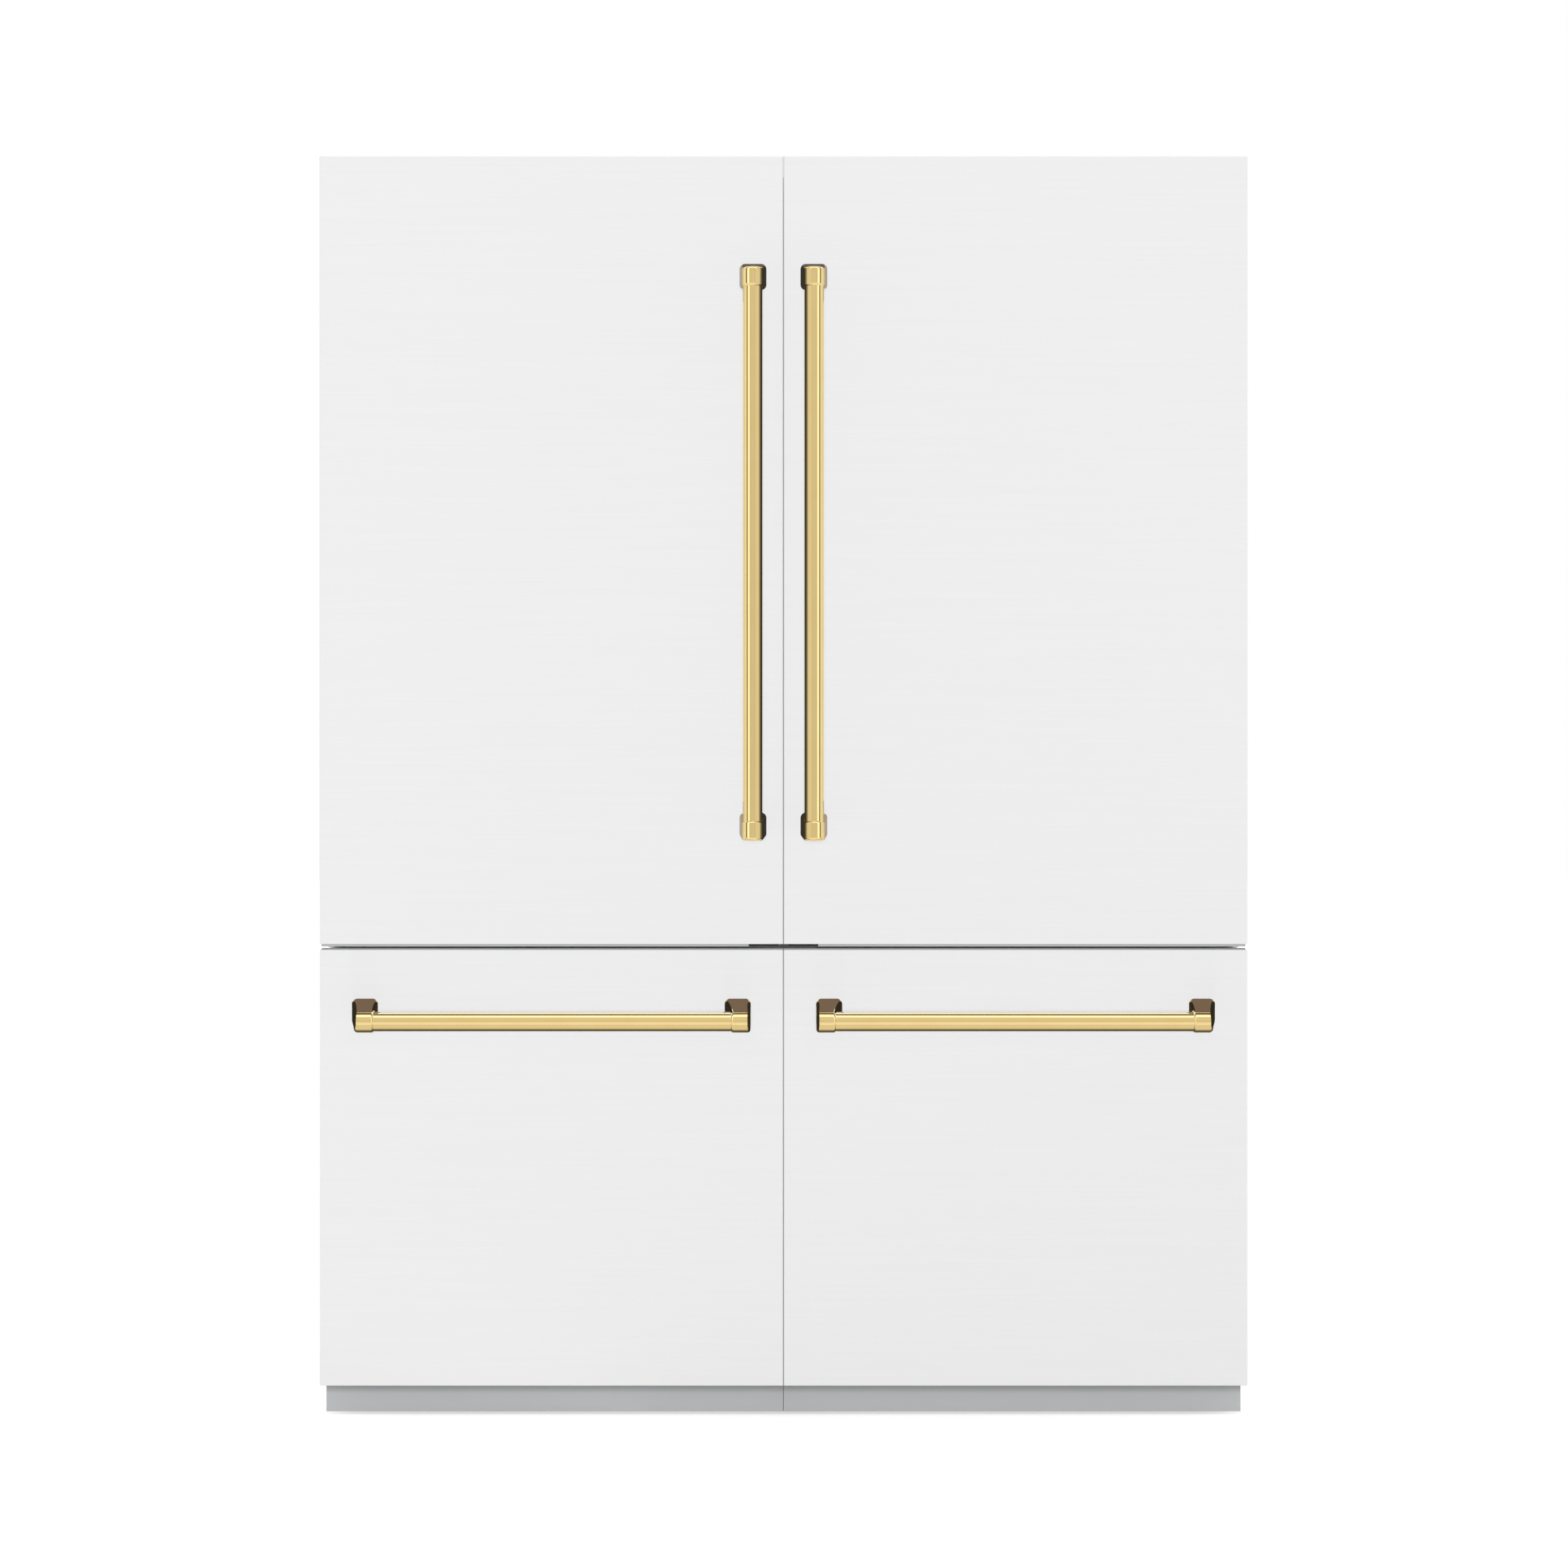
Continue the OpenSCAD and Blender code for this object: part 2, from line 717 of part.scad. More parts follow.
module compressor() {
    shell_r = 78;
    shell_x = case_x[0] + 190;
    shell_y = y_bay + bay_d / 2;
    foot_h = 12;
    dome_r = 26;
    shell_h = 150;
    translate([shell_x, shell_y, deck_z + foot_h]) {
        rotate_extrude() {
            translate([0, 6]) square([shell_r, shell_h - dome_r - 6]);
            square([shell_r - 8, shell_h - dome_r]);
            translate([0, shell_h - dome_r - eps]) square([shell_r - dome_r, dome_r + eps]);
            translate([shell_r - dome_r, shell_h - dome_r]) intersection() {
                circle(r = dome_r);
                square(dome_r);
            }
        }
        translate([-95, -70, -4]) cube([190, 140, 5]);
        for (dx = [-82, 82])
            for (dy = [-57, 57])
                translate([dx, dy, -foot_h]) cylinder(h = foot_h - 3.5, r = 11);
        translate([shell_r - 4, 0, 90]) rotate([0, 90, 0]) cylinder(h = 30, r = 5);
        translate([0, shell_r - 4, 100]) rotate([-90, 0, 0]) cylinder(h = 14, r = 4);
    }
}

module compressors() color(dark) both_columns() compressor();

// Finned coil, with a shroud and the fan's motor in front of it
module condenser_coil(x, y, z) {
    plate_t = 4;
    row_pitch = 34;
    difference() {
        block(x, y, z);
        for (i = [0 : fin_count - 1])
            block([x[0] + i * fin_pitch + fin_t, x[0] + (i + 1) * fin_pitch], grow(y, eps),
                  grow(z, -plate_t));
    }
    for (row = [0:4])
        for (side_y = [y[0] + 40, y[1] - 40])
            bar_x([x[1] - 1, x[1] + 8], side_y, z[0] + 25 + row * row_pitch, 5);
}

module condenser() {
    coil_x = [fan_x + 60, fan_x + 60 + fin_count * fin_pitch + fin_t];
    coil_y = [y_bay + 20, y_bay + 168];
    coil_z = [deck_z, deck_z + 190];
    shroud_x = [fan_x - 26, fan_x + 58];
    shroud_y = [fan_y - fan_r - 11, fan_y + fan_r + 11];
    motor_x = [fan_x - 78, fan_x - 34];
    condenser_coil(coil_x, coil_y, coil_z);
    difference() {
        block(shroud_x, shroud_y, coil_z);
        bar_x(grow(shroud_x, eps), fan_y, fan_z, fan_r + 5);
    }
    difference() {
        union() {
            bar_x(motor_x, fan_y, fan_z, 24);
            block([motor_x[0], motor_x[0] + 3], [fan_y - 60, fan_y + 60], [deck_z, fan_z]);
            block([motor_x[0], motor_x[0] + 30], [fan_y - 60, fan_y + 60], [deck_z, deck_z + 3]);
        }
        bar_x([motor_x[1] - 20, motor_x[1] + eps], fan_y, fan_z, shaft_r + run);
    }
}

module condensers() color(steel) both_columns() condenser();

module condenser_fan() {
    hub_x = [fan_x - 22, fan_x + 8];
    blades = 6;
    chord = 34;
    pitch = 35;
    color(dark) {
        bar_x(hub_x, fan_y, fan_z, 20);
        bar_x([fan_x - 50, hub_x[0] + eps], fan_y, fan_z, shaft_r);
        intersection() {
            bar_x(grow(hub_x, 8), fan_y, fan_z, fan_r);
            translate([fan_x - 7, fan_y, fan_z])
                for (i = [0 : blades - 1])
                    rotate([i * 360 / blades, 0, 0]) translate([0, 0, 14]) rotate([0, 0, pitch])
                        translate([-1, -chord / 2, 0]) cube([2, chord, fan_r]);
        }
    }
}

// Louvred sheet over the machine compartment
module rear_cover() {
    cover_x = grow(case_x, -sheet);
    cover_z = [deck_z, bay_top];
    slot_count = 9;
    difference() {
        union() {
            block(cover_x, [y_back - sheet, y_back], cover_z);
            both_walls()
                block([cover_x[0], cover_x[0] + 1], [y_back - 14, y_back - sheet + eps], cover_z);
        }
        for (x = [cover_x[0] + 60 : 215 : cover_x[1] - 200])
            for (i = [0 : slot_count - 1])
                block([x, x + 190], [y_back - sheet - eps, y_back + eps],
                      [cover_z[0] + 30 + i * 20, cover_z[0] + 40 + i * 20]);
    }
}

module rear_covers() color(grey) both_columns() rear_cover();

// Compression fitting for the water supply, inside the service cup
inlet_x = service_x[0] + 32;
inlet_z = service_z[0] + 40;
inlet_r = 5.55;
inlet_bore_r = 3;
inlet_foot = service_y[0] + cup_wall;

module water_inlet() {
    difference() {
        union() {
            bar_y(inlet_x, [inlet_foot, inlet_foot + 8], inlet_z, 11);
            bar_y(inlet_x, [inlet_foot, y_back - 6], inlet_z, inlet_r);
        }
        bar_y(inlet_x, [inlet_foot + 5, y_back], inlet_z, inlet_bore_r);
    }
}

module water_inlets() color("#c9a04e") both_columns() water_inlet();

// Moulded cup in the cabinet's back with the socket for the supply lead
module service_cup() {
    difference() {
        block(service_x, service_y, service_z);
        block(grow(service_x, -cup_wall), [service_y[0] + cup_wall, y_back + eps],
              grow(service_z, -cup_wall));
    }
}

module power_socket() {
    socket_x = [service_x[1] - 64, service_x[1] - 14];
    socket_z = [inlet_z - 15, inlet_z + 15];
    difference() {
        block(socket_x, [inlet_foot - eps, y_back - 12], socket_z);
        block(grow(socket_x, -6), [inlet_foot + 6, y_back], grow(socket_z, -5));
    }
    for (dx = [-10, 0, 10])
        block([(socket_x[0] + socket_x[1]) / 2 + dx - 1, (socket_x[0] + socket_x[1]) / 2 + dx + 1],
              [inlet_foot + 6 - eps, y_back - 16], [inlet_z - 3, inlet_z + 3]);
}

module power_inlets() {
    color(black) both_columns() {
        service_cup();
        power_socket();
    }
}

// ---------------------------------------------------------------- output

left_casing();
right_casing();
fridge_liners();
freezer_liners();
insulation();
joining_strips();
toe_kicks();
base_frames();
levelling_feet();
rear_rollers();
top_hinges();
lower_hinges();
shelf_frames();
shelf_glass();
crisper_drawers();
air_ducts();
light_strips();
control_panels();
dispenser_housings();
ice_makers();
slide_outer_rails();
compressors();
condensers();
rear_covers();
water_inlets();
power_inlets();
left_column() door_panel();  // left_door_panel
left_column() door_body();  // left_door_body
left_column() door_gasket();  // left_door_gasket
left_column() door_handle_bar();  // left_door_handle_bar
left_column() door_handle_posts();  // left_door_handle_posts
left_column() door_bins();  // left_door_bins
left_column() drawer_panel();  // left_drawer_panel
left_column() drawer_body();  // left_drawer_body
left_column() drawer_gasket();  // left_drawer_gasket
left_column() drawer_handle_bar();  // left_drawer_handle_bar
left_column() drawer_handle_posts();  // left_drawer_handle_posts
left_column() freezer_basket();  // left_freezer_basket
left_column() slide_inner_rails();  // left_slide_inner_rails
left_column() slide_middle_rails();  // left_slide_middle_rails
left_column() freezer_tray();  // left_freezer_tray
left_column() water_button();  // left_water_button
left_column() condenser_fan();  // left_condenser_fan
door_panel();  // right_door_panel
door_body();  // right_door_body
door_gasket();  // right_door_gasket
door_handle_bar();  // right_door_handle_bar
door_handle_posts();  // right_door_handle_posts
door_bins();  // right_door_bins
drawer_panel();  // right_drawer_panel
drawer_body();  // right_drawer_body
drawer_gasket();  // right_drawer_gasket
drawer_handle_bar();  // right_drawer_handle_bar
drawer_handle_posts();  // right_drawer_handle_posts
freezer_basket();  // right_freezer_basket
slide_inner_rails();  // right_slide_inner_rails
slide_middle_rails();  // right_slide_middle_rails
freezer_tray();  // right_freezer_tray
water_button();  // right_water_button
condenser_fan();  // right_condenser_fan
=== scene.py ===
"""French door refrigerator of two joined columns: white panels, gold bar handles.

Lengths are in millimetres, apart from the camera's and the materials', which are in metres like
the frame: +X right, -Y out of the doors, +Z up. New pieces are surfaces worked out as whole
arrays: outlines carried along a path, or functions of two parameters. The right column is
described, and the left one is its mirror image in x = 0.
"""
import json
import math

import bpy
import numpy as np
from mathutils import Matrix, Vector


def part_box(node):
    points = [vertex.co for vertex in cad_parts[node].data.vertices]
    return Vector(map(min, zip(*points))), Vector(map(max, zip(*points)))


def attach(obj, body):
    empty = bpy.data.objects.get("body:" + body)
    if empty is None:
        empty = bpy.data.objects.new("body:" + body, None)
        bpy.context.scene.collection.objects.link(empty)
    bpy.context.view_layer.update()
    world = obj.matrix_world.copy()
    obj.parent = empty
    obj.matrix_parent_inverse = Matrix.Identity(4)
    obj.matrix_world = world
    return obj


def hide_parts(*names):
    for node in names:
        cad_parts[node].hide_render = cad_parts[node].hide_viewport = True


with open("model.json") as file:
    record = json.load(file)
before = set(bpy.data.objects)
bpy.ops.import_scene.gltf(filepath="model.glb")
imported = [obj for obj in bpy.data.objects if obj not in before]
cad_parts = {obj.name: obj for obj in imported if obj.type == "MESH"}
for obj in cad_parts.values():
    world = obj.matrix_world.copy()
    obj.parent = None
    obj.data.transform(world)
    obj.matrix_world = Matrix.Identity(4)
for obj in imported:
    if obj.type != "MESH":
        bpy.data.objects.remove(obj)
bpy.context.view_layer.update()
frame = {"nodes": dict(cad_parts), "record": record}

MM = 0.001
SIDES = {"left": -1.0, "right": 1.0}
QUARTER = math.pi / 2
WHITE = (1.0, 1.0, 1.0)

# How far the closing glide under each door reaches from the seam
GLIDE_END = 57
# Thickness of a liner, width of its lip and radius of its upright corners
LINER, LIP, LINER_CORNER = 2, 10, 16
# Sheet metal, width of the service cup at the back, depth of the machine compartment, and how
# deep the back of the cabinet is sunk between its flanges
SHEET, CUP, BAY, SINK = 1.5, 130, 137, 3.6


# ---------------- surfaces

def pair_mid(pair):
    return (pair[0] + pair[1]) / 2


def pair_half(pair):
    return (pair[1] - pair[0]) / 2


def grow(pair, by):
    return (pair[0] - by, pair[1] + by)


def both_ends(pair, width):
    """The ranges of a width at the two ends of a range, inside it."""
    return (pair[0], pair[0] + width), (pair[1] - width, pair[1])


def quarter_arc(steps):
    """Pairs of one minus the sine and one minus the cosine, for angles up to a right angle."""
    angle = np.linspace(0.0, QUARTER, steps + 1)
    return np.stack([1 - np.sin(angle), 1 - np.cos(angle)], axis=1)


def ring_of_rectangle(half_u, half_v, radius, steps):
    """Closed outline of a rectangle whose corners are quarter circles of a radius.

    Their centres lie the radius inside both sides.
    """
    angle = np.linspace(0.0, QUARTER, steps + 1)
    corners = []
    for quarter, (sign_u, sign_v) in enumerate([(1, 1), (-1, 1), (-1, -1), (1, -1)]):
        turn = angle + quarter * QUARTER
        corners.append(np.stack([sign_u * (half_u - radius) + radius * np.cos(turn),
                                 sign_v * (half_v - radius) + radius * np.sin(turn)], axis=1))
    return np.concatenate(corners)


def ring_of_circle(radius, steps):
    """Closed outline of a circle: radius times the cosine and sine of evenly spaced angles."""
    angle = np.linspace(0.0, 2 * np.pi, steps, endpoint=False)
    return radius * np.stack([np.cos(angle), np.sin(angle)], axis=1)


class Form:
    """Closed surfaces that become one mesh: for each its points, and faces that index them."""

    def __init__(self, surfaces=()):
        self.surfaces = list(surfaces)

    def skin(self, rings, closed=False):
        """Adds a skin over rings with the same number of points, rows by columns by 3.

        Point j of ring i is joined to point j + 1 and to the same points of ring i + 1. A closed
        skin joins its last ring to its first, and any other has a flat face at each end. Where
        its volume, a sixth of the triangles' triple products, is negative, faces are reversed.
        """
        rings = np.asarray(rings, float)
        rows, columns = rings.shape[:2]
        i, j = np.meshgrid(np.arange(rows if closed else rows - 1), np.arange(columns),
                           indexing="ij")
        after, below = (j + 1) % columns, (i + 1) % rows
        quads = np.stack([i * columns + j, i * columns + after, below * columns + after,
                          below * columns + j], axis=-1)
        faces = quads.reshape(-1, 4).tolist()
        if not closed:
            last = (rows - 1) * columns
            faces += [list(range(columns - 1, -1, -1)), list(range(last, last + columns))]
        points = rings.reshape(-1, 3)
        fans = np.array([(f[0], f[k], f[k + 1]) for f in faces for k in range(1, len(f) - 1)])
        a, b, c = (points[fans[:, k]] - points[0] for k in range(3))
        if np.einsum("ij,ij->", a, np.cross(b, c)) < 0:
            faces = [face[::-1] for face in faces]
        self.surfaces.append((points, faces))
        return self

    def mirrored(self, sign):
        """The same form, or for sign -1 its mirror image in x = 0 with its faces turned back."""
        return Form((points * (sign, 1, 1), [face[::int(sign)] for face in faces])
                    for points, faces in self.surfaces)

    def joined(self, *others):
        """This form with the surfaces of the others added to it."""
        for other in others:
            self.surfaces += other.surfaces
        return self

    def mesh(self, name):
        mesh, faces, count = bpy.data.meshes.new(name), [], 0
        for points, own in self.surfaces:
            faces += [[i + count for i in face] for face in own]
            count += len(points)
        points = np.concatenate([points for points, _ in self.surfaces]) * MM
        mesh.from_pydata(points.tolist(), [], faces)
        return mesh


# For each axis, the two directions across it in the cycle x, y, z, and its own
AXES = {"x": (1, 2, 0), "y": (2, 0, 1), "z": (0, 1, 2)}


def place_rings(outlines, heights, centre, axis):
    """Outlines across an axis, each at its height along it, as rows by columns by 3."""
    outlines = np.asarray(outlines, float)
    first, second, along = AXES[axis]
    rings = np.zeros(outlines.shape[:2] + (3,))
    rings[..., first] = centre[0] + outlines[..., 0]
    rings[..., second] = centre[1] + outlines[..., 1]
    rings[..., along] = np.asarray(heights, float)[:, None]
    return rings


def loft(sections, axis, steps=5, closed=False):
    """Skin over rounded rectangles in a row; a closed one is a plate with a window.

    Each section is its height along the axis, its two ranges across it and its corner radius.
    """
    outlines = [ring_of_rectangle(pair_half(u), pair_half(v), corner, steps)
                + np.array([pair_mid(u), pair_mid(v)]) for _, u, v, corner in sections]
    heights = [section[0] for section in sections]
    return Form().skin(place_rings(outlines, heights, (0, 0), axis), closed)


def slab(x, y, z, edge, axis="z", corner=None, steps=3, corner_steps=4):
    """Closed block: a rounded rectangle carried along the axis, with round edges at its ends.

    There it shrinks by edge times one minus the sine of an angle while it moves on by edge times
    one minus the cosine, so the edge is a quarter circle.
    """
    u, v, along = ((x, y, z)[k] for k in AXES[axis])
    corner = edge if corner is None else corner
    track = [(edge * inset, along[0] + edge * rise) for inset, rise in quarter_arc(steps)]
    track += [(inset, along[0] + along[1] - at) for inset, at in track[::-1]]
    return loft([(at, grow(u, -inset), grow(v, -inset), max(corner - inset, 0.08 * edge))
                 for inset, at in track], axis, corner_steps)


def vessel(x, y, z, wall, corner, axis="z", draft=0.0, fillet=None, steps=4):
    """Vessel that opens towards the end of the axis.

    A rounded rectangle is carried up the outside, over a half-round rim and down the inside to
    the floor, shrinking linearly towards the floor by the draft.
    """
    u, v, along = ((x, y, z)[k] for k in AXES[axis])
    depth = along[1] - along[0]
    fillet = 0.6 * corner if fillet is None else fillet
    outer, half_turn = fillet * quarter_arc(steps), np.linspace(0.0, np.pi, 2 * steps + 1)
    rim = wall / 2 * np.stack([1 - np.cos(half_turn), np.sin(half_turn) - 1], axis=1)
    sections = []
    for inset, rise in np.concatenate([outer, rim + (0, depth), wall + outer[::-1]]):
        inset += draft * (1 - rise / depth)
        sections.append((along[0] + rise, grow(u, -inset), grow(v, -inset),
                         max(corner - inset, 0.1 * corner)))
    return loft(sections, axis, steps)


def lathe(profile, centre, axis="z", steps=48):
    """Solid of revolution: each row of the profile is a radius and a height along the axis."""
    outlines = [ring_of_circle(max(radius, 0.01), steps) for radius, _ in profile]
    return Form().skin(place_rings(outlines, [height for _, height in profile], centre, axis))


def wire(path, radius, steps=8, closed=False):
    """Round wire: a circle square to a path at each of its points.

    Its first direction is the one at the point before, less the part along the new travel.
    """
    path = np.asarray(path, float)
    before, after = path[-1:], path[:1]
    if not closed:
        before, after = 2 * path[:1] - path[1:2], 2 * path[-1:] - path[-2:-1]
    travel = np.concatenate([path[1:], after]) - np.concatenate([before, path[:-1]])
    travel /= np.linalg.norm(travel, axis=1)[:, None]
    side = np.array([0.0, 0.0, 1.0]) if abs(travel[0][2]) < 0.9 else np.array([1.0, 0.0, 0.0])
    sides = np.zeros_like(path)
    for k, direction in enumerate(travel):
        side = side - direction * (side @ direction)
        side = side / np.linalg.norm(side)
        sides[k] = side
    circle = ring_of_circle(radius, steps)
    rings = path[:, None] + circle[None, :, :1] * sides[:, None]
    rings = rings + circle[None, :, 1:] * np.cross(travel, sides)[:, None]
    return Form().skin(rings, closed)


def rounded_path(corners, radius, steps=5, closed=False):
    """Path through corners, each rounded by the parabola drawn towards it from the point that
    lies the radius before it to the point that lies the radius after it."""
    corners = np.asarray(corners, float)
    share = np.linspace(0.0, 1.0, steps + 1)[:, None]
    points = []
    for before, at, after in zip(np.roll(corners, 1, axis=0), corners,
                                 np.roll(corners, -1, axis=0)):
        start, end = (at + (to - at) / np.linalg.norm(to - at) * radius for to in (before, after))
        points.append((1 - share) ** 2 * start + 2 * share * (1 - share) * at + share ** 2 * end)
    if not closed:
        points[0], points[-1] = corners[:1], corners[-1:]
    return np.concatenate(points)


# ---------------- finishes

class Graph:
    """Nodes of a material or a world, and short words for adding them."""

    def __init__(self, owner):
        owner.use_nodes = True
        self.nodes, self.links = owner.node_tree.nodes, owner.node_tree.links

    def put(self, socket, value):
        """Sets an input to a number, vector or colour, or links it to another node's output."""
        if isinstance(value, (float, tuple)):
            socket.default_value = value + (1.0,) if socket.type == "RGBA" else value
        else:
            self.links.new(value, socket)

    def feed(self, node, *values, **named):
        """Outputs of a node whose inputs are given in order, or by name with _ for a space."""
        for socket, value in zip(node.inputs, values):
            self.put(socket, value)
        for name, value in named.items():
            self.put(node.inputs[name.replace("_", " ")], value)
        return node.outputs

    def new(self, kind, *values, **named):
        return self.feed(self.nodes.new(kind), *values, **named)

    def math(self, operation, *values):
        node = self.nodes.new("ShaderNodeMath")
        node.operation = operation
        return self.feed(node, *values)[0]

    def mix(self, share, *colours):
        """Colour between two colours or sockets, by a share from 0 to 1."""
        node = self.nodes.new("ShaderNodeMix")
        node.data_type = "RGBA"
        self.links.new(share, node.inputs["Factor"])
        for socket, value in zip([i for i in node.inputs if i.type == "RGBA"], colours):
            self.put(socket, value)
        return [o for o in node.outputs if o.type == "RGBA"][0]


class Finish(Graph):
    """A node material whose patterns are read from Object coordinates, in metres."""

    def __init__(self, name):
        self.material = bpy.data.materials.new(name)
        super().__init__(self.material)
        self.shader = self.nodes["Principled BSDF"]
        self.place = self.new("ShaderNodeTexCoord")["Object"]

    def grain(self, scale, detail=3.0, stretch=WHITE, rough=0.5):
        """Noise of about one spot for each 1/scale metres, drawn out by the stretch."""
        place = self.new("ShaderNodeMapping", Vector=self.place,
                         Scale=tuple(scale / s for s in stretch))["Vector"]
        return self.new("ShaderNodeTexNoise", Vector=place, Scale=1.0, Detail=detail,
                        Roughness=rough)["Fac"]

    def remap(self, value, low, high, start=0.3, end=0.7):
        """The value from start to end, carried linearly to low and high and held there."""
        return self.new("ShaderNodeMapRange", Value=value, From_Min=start, From_Max=end,
                        To_Min=low, To_Max=high)["Result"]

    def tones(self, pattern, dark, light):
        return self.mix(self.remap(pattern, 0.0, 1.0), dark, light)

    def relief(self, height, distance, strength):
        """Normal of a surface raised by the height times the distance, in metres."""
        return self.new("ShaderNodeBump", Height=height, Distance=distance,
                        Strength=strength)["Normal"]

    def coat(self, colour, roughness, normal=None, **others):
        """The material, with inputs of its shader set or linked."""
        if normal:
            others["Normal"] = normal
        self.feed(self.shader, Base_Color=colour, Roughness=roughness, **others)
        return self.material

    def show(self, shader):
        """The material, with another shader linked to its output."""
        self.links.new(shader, self.nodes["Material Output"].inputs["Surface"])
        return self.material


def srgb(red, green, blue):
    """Linear colour of an sRGB colour given from 0 to 255."""
    values = np.array([red, green, blue]) / 255.0
    linear = np.where(values <= 0.04045, values / 12.92, ((values + 0.055) / 1.055) ** 2.4)
    return tuple(float(v) for v in linear)


def brushed_white():
    """White lacquered sheet with a very fine level brushing along X."""
    f = Finish("white_panel_lacquer")
    fine = f.grain(260.0, 4.0, (60.0, 1.0, 1.0), 0.6)
    return f.coat(f.tones(fine, srgb(236, 236, 236), srgb(238, 238, 238)),
                  f.remap(f.grain(3.0, 2.0), 0.40, 0.48), f.relief(fine, 0.00002, 0.3),
                  Specular_IOR_Level=0.35)


def polished_gold():
    """Polished gold-toned metal with faint drawing marks and a thin uneven polish."""
    f = Finish("polished_gold")
    marks = f.grain(900.0, 3.0, (1.0, 1.0, 30.0))
    return f.coat(f.tones(f.grain(18.0), (0.90, 0.68, 0.295), (0.92, 0.705, 0.325)),
                  f.remap(marks, 0.05, 0.08), f.relief(marks, 0.000002, 0.3),
                  Specular_Tint=(1.0, 0.96, 0.88), Metallic=1.0)


def painted(name, dark, light, rough=0.45, speck=700.0, height=0.00002):
    """Paint with a fine orange-peel surface and a slight drift in its colour."""
    f = Finish(name)
    peel = f.grain(speck, 2.0)
    return f.coat(f.tones(f.grain(1.2, 2.0), dark, light),
                  f.remap(peel, rough - 0.05, rough + 0.06), f.relief(peel, height, 0.5))


def toe_paint_with_painted_shade():
    """Grey plinth paint with painted shade: darker over its upper 21 mm, where the drawers keep the
    light off.
    """
    f = Finish("plinth_paint_and_painted_shade")
    peel = f.grain(700.0, 2.0)
    height = f.new("ShaderNodeSeparateXYZ", f.place)["Z"]
    # painted shade: share of the dark grey 96, rising over the top 21 mm under the drawers; 195 is
    # the paint's own grey
    high = f.remap(height, 0.0, 1.0, 35 * MM, 56 * MM)
    return f.coat(f.mix(high, srgb(195, 196, 197), srgb(96, 97, 98)),
                  f.remap(peel, 0.40, 0.50), f.relief(peel, 0.00002, 0.5))


def moulded(name, dark, light, rough=0.35, height=0.00001):
    """Moulded plastic: even colour, faint flow marks and a fine grain."""
    f = Finish(name)
    flow = f.grain(7.0, 4.0, (1.0, 1.0, 2.5))
    return f.coat(f.tones(flow, dark, light), f.remap(flow, rough - 0.01, rough + 0.01),
                  f.relief(f.grain(1500.0, 2.0), height, 0.4))


def metal(name, dark, light, rough, stretch=(40.0, 1.0, 1.0)):
    """Bare metal with brushing drawn out along the stretch."""
    f = Finish(name)
    lines = f.grain(1200.0, 4.0, stretch, 0.6)
    return f.coat(f.tones(f.grain(12.0), dark, light),
                  f.remap(lines, rough - 0.06, rough + 0.08), f.relief(lines, 0.00001, 0.4),
                  Metallic=1.0)


def clear_plastic():
    """Clear moulded plastic with a faint blue-green tint and small waves."""
    f = Finish("clear_plastic")
    waves = f.grain(30.0, 2.0)
    return f.coat(f.tones(waves, (0.965, 0.98, 0.985), (0.98, 0.99, 0.992)),
                  f.remap(waves, 0.03, 0.08), f.relief(waves, 0.0002, 0.15),
                  Transmission_Weight=0.9, IOR=1.35)


def shelf_glass():
    """Tempered glass with a green tint that shows at its edges."""
    f = Finish("shelf_glass")
    waves = f.grain(6.0, 2.0)
    return f.coat(f.tones(waves, (0.93, 0.975, 0.965), (0.95, 0.982, 0.972)),
                  f.remap(waves, 0.01, 0.03), f.relief(waves, 0.0003, 0.05),
                  Transmission_Weight=0.95, IOR=1.3)


def lamp_cover():
    """Frosted cover of a light strip that glows a little, with faint paler spots."""
    f = Finish("lamp_cover")
    return f.coat(f.tones(f.grain(60.0, 0.0), srgb(246, 247, 244), srgb(253, 253, 248)), 0.5,
                  Emission_Color=(1.0, 0.98, 0.94), Emission_Strength=0.6)


